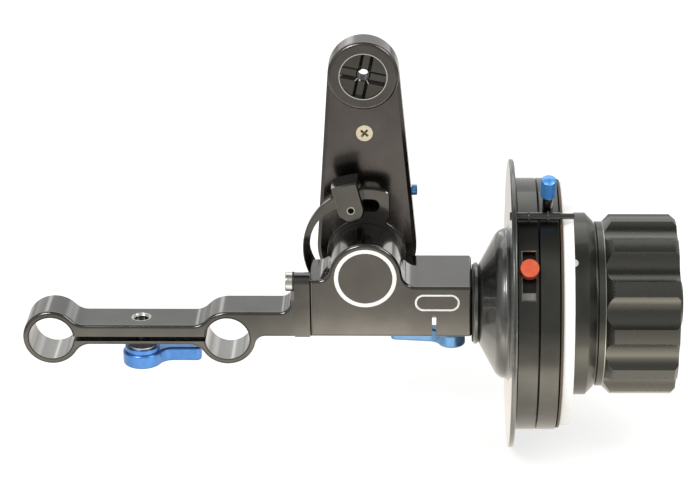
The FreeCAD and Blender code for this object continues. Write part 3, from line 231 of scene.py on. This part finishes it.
def sweep_paper():
    """Matt white paper sweep: white to the camera, with a soft shadow. In reflections it is
    brightest near the object and dark far off, which gives the polished faces their gradient."""
    ahead_start, ahead_steps = 0.36, (
        (-0.3, -0.2, 0.44), (-0.112, -0.08, 2.6), (-0.075, -0.02, -2.2), (0.02, 0.2, -0.6))
    side_start, side_steps = 0.15, (
        (-0.17, -0.06, 0.36), (0.072, 0.088, 0.54), (0.11, 0.13, -0.2), (0.15, 0.165, 0.2),
        (0.25, 0.38, -0.9))
    seen_level, glow_share = 1.0, 0.76

    material = bpy.data.materials.new("white_paper_sweep")
    material.use_nodes = True
    tree = material.node_tree
    tree.nodes.clear()
    path = add(tree, "ShaderNodeLightPath")
    place = add(tree, "ShaderNodeTexCoord")
    axes = add(tree, "ShaderNodeSeparateXYZ", {"Vector": place.outputs["Object"]})
    mirrored = add(tree, "ShaderNodeMath", {
        0: stepped(tree, axes.outputs["Y"], ahead_start, ahead_steps),
        1: stepped(tree, axes.outputs["X"], side_start, side_steps)}, operation="MULTIPLY")
    level = add(tree, "ShaderNodeMix", {
        "Factor": path.outputs["Is Glossy Ray"], "A": seen_level,
        "B": mirrored.outputs["Value"]})
    glow_level = add(tree, "ShaderNodeMath", {
        0: level.outputs["Result"], 1: glow_share}, operation="MULTIPLY")
    glow_shade = add(tree, "ShaderNodeMix", {
        "Factor": path.outputs["Is Glossy Ray"], "A": colour("FFFFFF"), "B": colour("FFF6EA")},
        data_type="RGBA")
    glow = add(tree, "ShaderNodeEmission", {
        "Color": glow_shade.outputs["Result"], "Strength": glow_level.outputs["Value"]})
    matt = add(tree, "ShaderNodeBsdfDiffuse", {"Color": colour("A2A2A0")})
    lit = add(tree, "ShaderNodeAddShader", {0: matt.outputs["BSDF"], 1: glow.outputs["Emission"]})
    bounce = add(tree, "ShaderNodeBsdfDiffuse", {"Color": colour("FAFAF8")})
    seen = add(tree, "ShaderNodeMath", {
        0: path.outputs["Is Camera Ray"], 1: path.outputs["Is Glossy Ray"]},
        operation="MAXIMUM")
    paper = add(tree, "ShaderNodeMixShader", {
        0: seen.outputs["Value"], 1: bounce.outputs["BSDF"], 2: lit.outputs["Shader"]})
    add(tree, "ShaderNodeOutputMaterial", {"Surface": paper.outputs["Shader"]})
    return material


def make_floor():
    """Wide sheet of paper just under the lowest point."""
    gap = 0.2
    low = cad_box[0].z - gap * MM
    bpy.ops.mesh.primitive_plane_add(size=10, location=(0, 0, low))
    floor = bpy.context.object
    floor.name = "floor"
    floor.data.materials.append(sweep_paper())


# ---- finishes: each is its material, node tree, shader and place on the object ---------------
def start_finish(name, base, metallic, roughness, coat=0.0, coat_roughness=0.1):
    """A material with its constant values on the shader's own sockets."""
    material = bpy.data.materials.new(name)
    material.use_nodes = True
    tree = material.node_tree
    tree.nodes.clear()
    shader = add(tree, "ShaderNodeBsdfPrincipled", {
        "Base Color": colour(base), "Metallic": metallic, "Roughness": roughness,
        "Coat Weight": coat, "Coat Roughness": coat_roughness})
    add(tree, "ShaderNodeOutputMaterial", {"Surface": shader.outputs["BSDF"]})
    place = add(tree, "ShaderNodeTexCoord")
    return material, tree, shader, place.outputs["Object"]


def grain(tree, place, size, stretch=(1, 1, 1), detail=2.0):
    """Noise whose grains are about size millimetres across, drawn out along the small axes."""
    turned = add(tree, "ShaderNodeMapping", {"Vector": place, "Scale": stretch})
    noise = add(tree, "ShaderNodeTexNoise", {
        "Vector": turned.outputs["Vector"], "Scale": 1 / (size * MM), "Detail": detail})
    return noise.outputs["Fac"]


# Most of a noise lies between these two values.
noise_low, noise_high = 0.3, 0.7


def cloud_colour(tree, shader, pattern, first, second):
    """Let the colour drift between two shades with a pattern."""
    share = add(tree, "ShaderNodeMapRange", {
        "Value": pattern, "From Min": noise_low, "From Max": noise_high,
        "To Min": 0.0, "To Max": 1.0})
    drift = add(tree, "ShaderNodeMix", {
        "Factor": share.outputs["Result"], "A": colour(first), "B": colour(second)},
        data_type="RGBA")
    tree.links.new(drift.outputs["Result"], shader.inputs["Base Color"])


def mark_surface(tree, shader, pattern, low, high, depth):
    """Let a pattern spread the roughness from low to high and stand up by depth millimetres."""
    spread = add(tree, "ShaderNodeMapRange", {
        "Value": pattern, "From Min": noise_low, "From Max": noise_high,
        "To Min": low, "To Max": high})
    tree.links.new(spread.outputs["Result"], shader.inputs["Roughness"])
    raised = add(tree, "ShaderNodeBump", {
        "Height": pattern, "Strength": 1.0, "Distance": depth * MM})
    tree.links.new(raised.outputs["Normal"], shader.inputs["Normal"])


def reach(tree, place, across, *centres):
    """Distance from the nearest of the lines through centres, across the two named axes."""
    parts = add(tree, "ShaderNodeSeparateXYZ", {"Vector": place})
    flat = add(tree, "ShaderNodeCombineXYZ", {axis: parts.outputs[axis] for axis in across})
    nearest = None
    for centre in centres:
        spot = [centre[across.index(axis)] * MM if axis in across else 0.0 for axis in "XYZ"]
        away = add(tree, "ShaderNodeVectorMath", {
            0: flat.outputs["Vector"], 1: spot}, operation="DISTANCE").outputs["Value"]
        nearest = away if nearest is None else add(tree, "ShaderNodeMath", {
            0: nearest, 1: away}, operation="MINIMUM").outputs["Value"]
    return nearest


def recolour_zone(tree, shader, shade, roughness, *limits):
    """Another colour and roughness where every (value, low, high) holds, in millimetres. It serves
    for bare metal and for painted shade and highlights.
    """
    mask = None
    for value, low, high in limits:
        inside = add(tree, "ShaderNodeMath", {
            0: value, 1: (low + high) / 2 * MM, 2: (high - low) / 2 * MM},
            operation="COMPARE").outputs["Value"]
        mask = inside if mask is None else add(tree, "ShaderNodeMath", {
            0: mask, 1: inside}, operation="MULTIPLY").outputs["Value"]
    base, gloss = shader.inputs["Base Color"], shader.inputs["Roughness"]
    new_base = add(tree, "ShaderNodeMix", {
        "Factor": mask, "A": base.links[0].from_socket, "B": colour(shade)}, data_type="RGBA")
    new_gloss = add(tree, "ShaderNodeMix", {
        "Factor": mask, "A": gloss.links[0].from_socket, "B": roughness})
    tree.links.new(new_base.outputs["Result"], base)
    tree.links.new(new_gloss.outputs["Result"], gloss)


def dyed_black(name, first, second, roughness, coat):
    """Black anodised aluminium before its tool marks: a dark metal under a clear oxide layer,
    with a slight clouding of the dye, in clouds of 9 mm."""
    material, tree, shader, place = start_finish(
        name, first, metallic=1.0, roughness=roughness, coat=coat, coat_roughness=0.08)
    cloud_colour(tree, shader, grain(tree, place, size=9.0), first, second)
    return material, tree, shader, place


def black_anodised(name, first, second, roughness, lines=(1, 1, 1), coat=1.0):
    """Milled aluminium, gloss black anodised, with the cutter's faint lines in its gloss."""
    material, tree, shader, place = dyed_black(name, first, second, roughness, coat)
    # Cutter lines are 0.1 mm apart on the real part, and 0.5 mm here, so that they show.
    marks = grain(tree, place, size=0.5, stretch=lines)
    mark_surface(tree, shader, marks, roughness - 0.02, roughness + 0.03, depth=0.0004)
    return material, tree, shader, place


def black_turned(name, first, second, roughness, coat=1.0):
    """Turned aluminium, black anodised, with fine lathe rings round the wheel's axis, which draw
    the highlights out across the rings."""
    material, tree, shader, place = dyed_black(name, first, second, roughness, coat)
    spot = add(tree, "ShaderNodeSeparateXYZ", {"Vector": place})
    out = reach(tree, place, "YZ", (wheel_y, wheel_z))
    step = add(tree, "ShaderNodeMath", {0: out, 1: spot.outputs["X"]}, operation="ADD")
    line = add(tree, "ShaderNodeCombineXYZ", {"X": step.outputs["Value"]})
    # Lathe rings are 0.1 mm apart on the real part, and 0.4 mm here, so that they show.
    rings = grain(tree, line.outputs["Vector"], size=0.4)
    mark_surface(tree, shader, rings, roughness - 0.03, roughness + 0.05, depth=0.001)
    return material, tree, shader, place


def bridge_finish():
    """Black anodised bar whose rod bores are reamed bright after anodising, with painted shade
    round their mouths, a dark line for a chamfer, and a bare countersink in the top."""
    material, tree, shader, place = black_anodised(
        "black_anodised_milled_bar", "484743", "53524D", roughness=0.2, lines=(0.15, 1, 1))
    bores = reach(tree, place, "XZ", *bore_places)
    # Painted shade: a near-black ring round each bore's mouth, for the dark chamfer there.
    recolour_zone(tree, shader, "080807", 0.6, (bores, bore_bright_reach, bore_mouth_shade_reach))
    recolour_zone(tree, shader, "9A9994", 0.26, (bores, 0, bore_bright_reach))
    spot = add(tree, "ShaderNodeSeparateXYZ", {"Vector": place})
    recolour_zone(tree, shader, "D8D7D2", 0.3,
          (reach(tree, place, "XY", top_hole), 0, top_hole_reach),
          (spot.outputs["Z"], top_hole_low, top_hole_high))
    return material, tree, shader, place


def coupler_finish():
    """Black anodised coupler and output gear, with painted shade darkening its long bore."""
    material, tree, shader, place = black_anodised(
        "black_anodised_coupler", "4B4944", "55534E", roughness=0.17, lines=(1, 1, 0.2), coat=0.4)
    bore = reach(tree, place, "XZ", coupler_middle)
    # Painted shade: the long bore is near black and dull, for the shade deep in the hole.
    recolour_zone(tree, shader, "161614", 0.7, (bore, 0, coupler_hole_reach))
    return material, tree, shader, place


def ring_finish():
    """Turned black ring whose corners and window are dull and darkened by painted shade, with a
    thin painted highlight round the window's mouth."""
    material, tree, shader, place = black_turned(
        "black_anodised_rings", "42423E", "4C4C47", roughness=0.3, coat=0.5)
    out = reach(tree, place, "YZ", (wheel_y, wheel_z))
    # Painted shade: all below the ring's face, its corners, seams and window, is darkened.
    recolour_zone(tree, shader, "242421", 0.5, (out, 0, ring_corner))
    spot = add(tree, "ShaderNodeSeparateXYZ", {"Vector": place})
    # Painted highlight: a pale band round the window's mouth, for its edges catching the light.
    recolour_zone(tree, shader, "A5A69F", 0.4,
          (spot.outputs["X"], window_x - window_reach, window_x + window_reach),
          (out, window_highlight_from, ring_corner))
    return material, tree, shader, place


def base_finish():
    """Turned black base of the grip, with a painted highlight where its neck runs into the grip.
    """
    material, tree, shader, place = black_turned(
        "black_anodised_base", "474742", "4F4F49", roughness=0.36, coat=0.3)
    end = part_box("knob_base")[1].x / MM
    spot = add(tree, "ShaderNodeSeparateXYZ", {"Vector": place})
    # Painted highlight: a pale band at the neck's end, for its edge catching the light.
    recolour_zone(tree, shader, "9E9D95", 0.35,
          (spot.outputs["X"], end - neck_highlight, end + past_neck))
    return material, tree, shader, place


def satin_black(name, first, second, roughness):
    """Bead-blasted aluminium, satin black anodised: an even dark grey sheen with a fine sparkle
    where single beads have struck."""
    material, tree, shader, place = start_finish(
        name, first, metallic=1.0, roughness=roughness, coat=0.5, coat_roughness=0.3)
    # Bead marks are 0.1 mm across on the real knob, and 0.8 mm here, so that they show.
    beads = grain(tree, place, size=0.8, detail=3.0)
    cloud_colour(tree, shader, beads, first, second)
    mark_surface(tree, shader, beads, roughness - 0.01, roughness + 0.01, depth=0.00006)
    return material, tree, shader, place


def dyed_anodised(name, first, second, roughness):
    """Clear-coloured anodising on milled aluminium: the dye is seen through to the metal, so it
    is bright where it mirrors light and deep where it doesn't."""
    material, tree, shader, place = start_finish(
        name, first, metallic=0.75, roughness=roughness, coat=0.6, coat_roughness=0.15)
    # Tool marks are 0.1 mm apart on the real part, and 2 mm here, so that they show.
    marks = grain(tree, place, size=2.0)
    cloud_colour(tree, shader, marks, first, second)
    mark_surface(tree, shader, marks, roughness - 0.03, roughness + 0.03, depth=0.0005)
    return material, tree, shader, place


def knob_finish():
    """Blue knurled knob whose smooth crown is rougher, and painted paler as a painted highlight
    of its lit top.
    """
    material, tree, shader, place = dyed_anodised(
        "blue_anodised_knob", "4C90CC", "569AD6", roughness=0.24)
    out = reach(tree, place, "YZ", (wheel_y, wheel_z))
    # Painted highlight: the crown's paler blue stands for its top lit from above.
    recolour_zone(tree, shader, "62A6EC", 0.42, (out, crown_near, crown_far))
    return material, tree, shader, place


def bare_metal(name, first, second, roughness):
    """Bare turned or ground metal: bright, with fine tool lines in its gloss."""
    material, tree, shader, place = start_finish(
        name, first, metallic=1.0, roughness=roughness)
    # Tool lines are 0.1 mm apart on the real part, and 0.8 mm here, so that they show.
    marks = grain(tree, place, size=0.8)
    cloud_colour(tree, shader, marks, first, second)
    mark_surface(tree, shader, marks, roughness - 0.03, roughness + 0.04, depth=0.001)
    return material, tree, shader, place


def shade_recess(finish, node, shade):
    """Painted shade: darken what lies down in the recess of a small screw."""
    material, tree, shader, place = finish
    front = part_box(node)[0].y / MM
    spot = add(tree, "ShaderNodeSeparateXYZ", {"Vector": place})
    recolour_zone(tree, shader, shade, 0.6,
          (spot.outputs["Y"], front + recess_near, front + recess_far))
    return finish


def moulded(name, first, second, roughness, size=0.5, depth=0.01):
    """Moulded or coated plastic, rubber and paint: dull, with a fine even skin."""
    material, tree, shader, place = start_finish(
        name, first, metallic=0.0, roughness=roughness)
    # The skin's grains are 0.1 mm on the real part, and 0.5 or 0.8 mm here, so that they show.
    skin = grain(tree, place, size)
    cloud_colour(tree, shader, skin, first, second)
    mark_surface(tree, shader, skin, roughness - 0.06, roughness + 0.06, depth)
    return material, tree, shader, place


def dress(finish, *names):
    """Give the CAD nodes this finish only."""
    for name in names:
        data = nodes[name].data
        data.materials.clear()
        data.materials.append(finish[0])


def dress_black_parts():
    """Black anodised aluminium: milled, turned, and blasted on the grip."""
    dress(bridge_finish(), "rod_bridge")
    dress(coupler_finish(), "cross_coupler", "output_gear")
    # Finely milled: near black with a warm cast, and long clear reflections.
    dress(black_anodised("black_anodised_milled", "4B4944", "55534E", roughness=0.17,
                         lines=(1, 1, 0.2)),
          "gear_housing", "adapter_plate", "lock_ring", "lock_tab", "stop_stem")
    # The arm's dye is a little browner, and its milling softer.
    dress(black_anodised("black_anodised_arm", "56514E", "5F5B58", roughness=0.25,
                         lines=(1, 1, 0.15), coat=0.45),
          "arm_case", "arm_cover", "pivot_collar")
    # A thin drawn bar: darker, with a broad dull gloss.
    dress(black_anodised("black_anodised_rod", "3A3A38", "454543", roughness=0.42), "index_bar")
    # Turned on a lathe: a soft bright band along the bell, drawn out across the rings.
    dress(black_turned("black_anodised_turned", "50524F", "595B58", roughness=0.36),
          "bell", "stop_flange")
    dress(ring_finish(), "stop_ring_a", "stop_ring_b", "core_ring", "wheel_hub")
    dress(base_finish(), "knob_base")
    dress(satin_black("satin_black_blasted", "4E4E48", "52514B", roughness=0.28),
          "fluted_knob", "end_cap")


def dress_coloured_parts():
    """Blue anodised screw and levers, each in its own blue. The barrel lever's paler, greyer blue
    is a painted reflection of the floor that it mirrors beneath the housing.
    """
    dress(dyed_anodised("blue_anodised_screw", "3F79B4", "4D86C0", roughness=0.3), "side_screw")
    dress(dyed_anodised("blue_anodised_rod_lever", "4684D0", "5491DA", roughness=0.3),
          "rod_clamp_lever")
    # Painted reflection: the paler, greyer blue stands in for the floor mirrored in this lever.
    dress(dyed_anodised("blue_anodised_barrel_lever", "5A92C4", "689ECD", roughness=0.34),
          "barrel_clamp_lever")


def dress_bare_parts():
    """Steel, brass and aluminium with no coating."""
    # Turned stainless steel: pale and clear, the brightest metal on the unit.
    dress(bare_metal("stainless_steel_turned", "C9C8C2", "D4D3CD", roughness=0.24),
          "rod_clamp_stud", "rod_clamp_washer", "plate_screw", "barrel_clamp_stud",
          "barrel_clamp_washer", "head_rim")
    # Stainless steel screw head: a little greyer, round a socket darkened with painted shade.
    dress(shade_recess(bare_metal("stainless_socket_screw", "B4B3AC", "C2C1BA", roughness=0.3),
                   "lock_tab_screw", "4A4B40"), "lock_tab_screw")
    # Polished brass: a pale gold round its recess, which painted shade turns a dull brown.
    dress(shade_recess(bare_metal("brass_polished", "EADFC2", "F0E7D0", roughness=0.3),
                   "cover_screw", "A2936C"), "cover_screw")
    # Steel hobbed for the gears and ground for the arbors: a middle grey with a soft gloss.
    dress(bare_metal("hobbed_gear_steel", "8F8F8C", "A3A29E", roughness=0.35),
          "pivot_flange", "neck_clip", "bevel_pinion", "bevel_gear", "cross_arbor",
          "pivot_gear", "pivot_arbor", "idler_pin_1", "idler_pin_2", "arm_input_gear",
          "bearing_tube", "wheel_spindle", "thrust_collar")
    # Hobbed brass: a deeper gold than the polished screw's.
    dress(bare_metal("hobbed_gear_brass", "B8934A", "C9A65E", roughness=0.33),
          "cross_pinion", "idler_gear_1", "idler_gear_2")
    # Milled aluminium left bare: a light grey, dull beside the steel.
    dress(bare_metal("bare_aluminium_milled", "8E8D87", "9C9B95", roughness=0.38), "stop_pad")


def dress_plastic_parts():
    """Plastic washers, rubber bumpers and the ring to write on."""
    # Low-friction plastic, turned: near black, even and dull.
    dress(moulded("black_low_friction_washer", "1A1A1A", "242424", roughness=0.5),
          "rod_clamp_spacer", "plate_washer", "barrel_clamp_spacer", "neck_washer",
          "drag_washer")
    # Moulded rubber: dark grey and smooth, with a fairly clear gloss.
    dress(moulded("black_rubber", "3C3C3A", "464643", roughness=0.2, depth=0.001),
          "bumper_a", "bumper_b")
    # Coated so that a pen's marks wipe off: near white and almost matt.
    dress(moulded("white_writing_surface", "F4F3EE", "FAFAF6", roughness=0.45, size=0.8,
                  depth=0.002), "marking_ring")
    # Thin disc beside the white ring: dark tan and dull, painted shade on its rim in the narrow
    # gap, with a painted reflection of the knob.
    dress(moulded("tan_disc_rim_painted_shade", "4A3E2E", "594B38", roughness=0.5), "marking_disc")


# ---- pieces that the CAD model leaves out ---------------------------------------------------
def open_mesh(mode="FACE"):
    """Edit the active piece with nothing selected."""
    bpy.ops.object.mode_set(mode="EDIT")
    bpy.ops.mesh.select_mode(type=mode)
    bpy.ops.mesh.select_all(action="DESELECT")


def pick(kind, test):
    """Select only those edges or faces of the active piece that pass a test."""
    bpy.ops.mesh.select_all(action="DESELECT")
    bpy.ops.object.mode_set(mode="OBJECT")
    data = bpy.context.object.data
    for item in getattr(data, kind):
        item.select = bool(test(data, item))
    bpy.ops.object.mode_set(mode="EDIT")


def place_piece(name, finish, body, slot, *stood_for):
    """Apply the piece's place to its mesh, name and dress it, and let it ride on its body."""
    piece = bpy.context.object
    bpy.ops.object.mode_set(mode="OBJECT")
    bpy.ops.object.transform_apply(location=True, rotation=True, scale=True)
    piece.name = name
    piece.data.materials.clear()
    piece.data.materials.append(finish[0])
    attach(piece, body)
    if stood_for:
        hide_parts(*stood_for)


def give_thickness(depth):
    """Solidify the flat active piece by depth millimetres, towards its front."""
    bpy.ops.object.mode_set(mode="OBJECT")
    wall = bpy.context.object.modifiers.new("wall", "SOLIDIFY")
    wall.thickness = depth * MM
    wall.offset = 1.0
    bpy.ops.object.modifier_apply(modifier=wall.name)


def front_y():
    """Flat front of the gear housing."""
    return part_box("gear_housing")[0].y


def printed_ring(paint):
    """White ring printed on the round front of the gear housing, with nothing in it."""
    bpy.ops.mesh.primitive_circle_add(
        vertices=96, radius=mark_ring_radius * MM, fill_type="NGON", rotation=(pi / 2, 0, 0),
        location=(pivot_x * MM, front_y(), pivot_z * MM))
    open_mesh()
    bpy.ops.mesh.select_all(action="SELECT")
    bpy.ops.mesh.inset(thickness=mark_ring_line * MM)
    bpy.ops.mesh.delete(type="FACE")
    give_thickness(print_height)
    place_piece("housing_printed_ring", paint, "housing", "white_marking")


def printed_label(paint):
    """White outline printed on the barrel, a bare stadium with nothing in it."""
    middle = ((label_from_x + label_to_x) / 2 * MM, front_y(),
              (label_low_z + label_high_z) / 2 * MM)
    width = (label_to_x - label_from_x) * MM
    height = (label_high_z - label_low_z) * MM
    bpy.ops.mesh.primitive_plane_add(size=1, rotation=(pi / 2, 0, 0), location=middle)
    bpy.context.object.scale = (width, height, 1)
    bpy.ops.object.transform_apply(location=False, rotation=False, scale=True)
    open_mesh("VERT")
    bpy.ops.mesh.select_all(action="SELECT")
    bpy.ops.mesh.bevel(offset=label_corner * height, segments=14, affect="VERTICES",
                       clamp_overlap=True)
    bpy.ops.mesh.select_mode(type="FACE")
    bpy.ops.mesh.select_all(action="SELECT")
    bpy.ops.mesh.inset(thickness=label_line * MM)
    bpy.ops.mesh.delete(type="FACE")
    give_thickness(print_height)
    place_piece("barrel_printed_outline", paint, "housing", "white_marking")


def base_left():
    """Left face of the knob's base, where the marking ring ends."""
    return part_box("marking_ring")[1].x


def wheel_way(angle):
    """Outward direction round the wheel's axis, from the front at 0 to the top at 90 degrees."""
    return Vector((0, -cos(radians(angle)), sin(radians(angle))))


def index_dot(paint):
    """Round drilled mark filled with pale paint, cut by the edge of the knob's base."""
    low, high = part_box("knob_base")
    radius = (high.z - low.z) / 2
    way = wheel_way(dot_angle)
    middle = Vector((base_left() + dot_offset * MM, wheel_y * MM, wheel_z * MM))
    bpy.ops.mesh.primitive_cylinder_add(
        vertices=40, radius=dot_radius * MM, depth=2 * (dot_sunk + dot_height) * MM,
        rotation=way.to_track_quat("Z", "X").to_euler(),
        location=middle + way * (radius - dot_sunk * MM))
    bpy.ops.object.transform_apply(location=True, rotation=True, scale=True)
    open_mesh()
    pick("polygons", lambda data, face: face.normal.dot(way) > 0.9)
    bpy.ops.mesh.bevel(offset=dot_edge * MM, segments=2)
    bpy.ops.mesh.select_all(action="SELECT")
    bpy.ops.mesh.bisect(plane_co=(base_left() + dot_gap * MM, 0, 0), plane_no=(1, 0, 0),
                        use_fill=True, clear_inner=True)
    place_piece("knob_index_dot", paint, "handwheel", "white_marking")


def raise_face(up, *steps):
    """Inset and move the end face that looks up or down, once for each (inset, move) in
    millimetres. An end has more than 8 corners, and a face of the side has fewer."""
    bpy.ops.mesh.select_mode(type="FACE")
    pick("polygons", lambda data, face: face.normal.z * up > 0.99 and len(face.vertices) > 8)
    for inwards, move in steps:
        bpy.ops.mesh.inset(thickness=inwards * MM)
        bpy.ops.transform.translate(value=(0, 0, move * MM))


def stand_on_wheel(x, angle, height):
    """Turn the active piece outwards from the wheel's axis, with its middle at a height."""
    piece = bpy.context.object
    way = wheel_way(angle)
    piece.rotation_euler = way.to_track_quat("Z", "X").to_euler()
    piece.location = Vector((x, wheel_y * MM, wheel_z * MM)) + way * height * MM


def upright(data, edge):
    """True for an edge that runs along the knob."""
    first, second = (data.vertices[i].co for i in edge.vertices)
    return (first.xy - second.xy).length < same


def level_inside(data, edge, limit):
    """True for a level edge that is nearer to the knob's middle than limit."""
    first, second = (data.vertices[i].co for i in edge.vertices)
    return abs(first.z - second.z) < same and abs(first.z) < limit


def knurled_knob(finish):
    """Small blue knob with a diamond-knurled side, a smooth low crown and a bore for its stem."""
    low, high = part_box("stop_knob")
    height = (knob_to - knob_from) * MM
    inner = knurl_radius - knurl_depth
    nearly_half = 0.49
    bpy.ops.mesh.primitive_cylinder_add(vertices=knurl_across, radius=inner * MM, depth=height)
    open_mesh("EDGE")
    pick("edges", upright)
    bpy.ops.mesh.subdivide(number_cuts=knurl_rows - 1)
    bpy.ops.mesh.select_mode(type="FACE")
    pick("polygons", lambda data, face: abs(face.normal.z) < 0.1)
    bpy.ops.mesh.poke()
    # Without the first upright and level lines the side is all diamonds, which rise to points.
    bpy.ops.mesh.select_mode(type="EDGE")
    pick("edges", lambda data, edge: upright(data, edge)
         or level_inside(data, edge, height * nearly_half))
    bpy.ops.mesh.dissolve_edges(use_verts=False)
    bpy.ops.mesh.select_mode(type="FACE")
    pick("polygons", lambda data, face: len(face.vertices) == 4)
    bpy.ops.mesh.poke(offset=knurl_point * MM)
    raise_face(1, *crown_steps)
    raise_face(-1, (inner - knob_bore, 0.0), (straight, knob_bore_depth))
    bpy.ops.object.mode_set(mode="OBJECT")
    bpy.ops.object.shade_smooth_by_angle(angle=radians(32))
    stand_on_wheel((low.x + high.x) / 2, knob_angle, (knob_from + knob_to) / 2)
    place_piece("knurled_stop_knob", finish, "stop_b_knob", "blue_anodised", "stop_knob")


def rounded_button(finish):
    """Orange push button with a flat top and a soft rim, on its neck and guide pin."""
    low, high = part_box("stop_button")
    bpy.ops.mesh.primitive_cylinder_add(
        vertices=64, radius=button_radius * MM, depth=(button_to - button_from) * MM)
    open_mesh()
    raise_face(1, (0.0, 0.0))
    bpy.ops.mesh.bevel(offset=button_rim * MM, segments=8)
    raise_face(-1, (button_radius - button_neck, 0.0), (straight, button_foot - button_from),
               (button_neck / 2, 0.0), (straight, button_end - button_foot))
    bpy.ops.object.mode_set(mode="OBJECT")
    bpy.ops.object.shade_smooth_by_angle(angle=radians(40))
    stand_on_wheel((low.x + high.x) / 2, button_angle, (button_from + button_to) / 2)
    place_piece("rounded_stop_button", finish, "stop_a_button", "orange_anodised", "stop_button")


# ---- the whole ------------------------------------------------------------------------------
bpy.ops.object.select_all(action="DESELECT")
bpy.context.scene.view_settings.view_transform = "Standard"
make_camera()
make_world()
make_floor()
make_lamp("left_softbox", place=(-0.45, -0.75, 0.95), aim=(0.1, 0, 0.02), size=(0.45, 0.45),
          watts=8.0)
make_lamp("right_softbox", place=(0.85, -0.35, 0.75), aim=(0.12, 0, 0.02), size=(0.35, 0.5),
          watts=4.0)
make_lamp("top_softbox", place=(0.1, 0.7, 1.0), aim=(0.1, 0, 0.02), size=(1.6, 0.9), watts=5.5)

dress_black_parts()
dress_coloured_parts()
dress_bare_parts()
dress_plastic_parts()
blue_knob = knob_finish()
orange_button = dyed_anodised("orange_anodised", "EC6540", "F07048", roughness=0.34)
dress(blue_knob, "stop_knob")
dress(orange_button, "stop_button")
# Screen-printed ink stands up a little and is near white. The dot's paint is greyer.
white_print = moulded("white_screen_print", "F2F1EC", "FBFAF7", roughness=0.4, size=0.8,
                      depth=0.004)
pale_fill = moulded("pale_filled_paint", "CFCFC8", "DADAD4", roughness=0.45)
printed_ring(white_print)
printed_label(white_print)
index_dot(pale_fill)
knurled_knob(blue_knob)
rounded_button(orange_button)
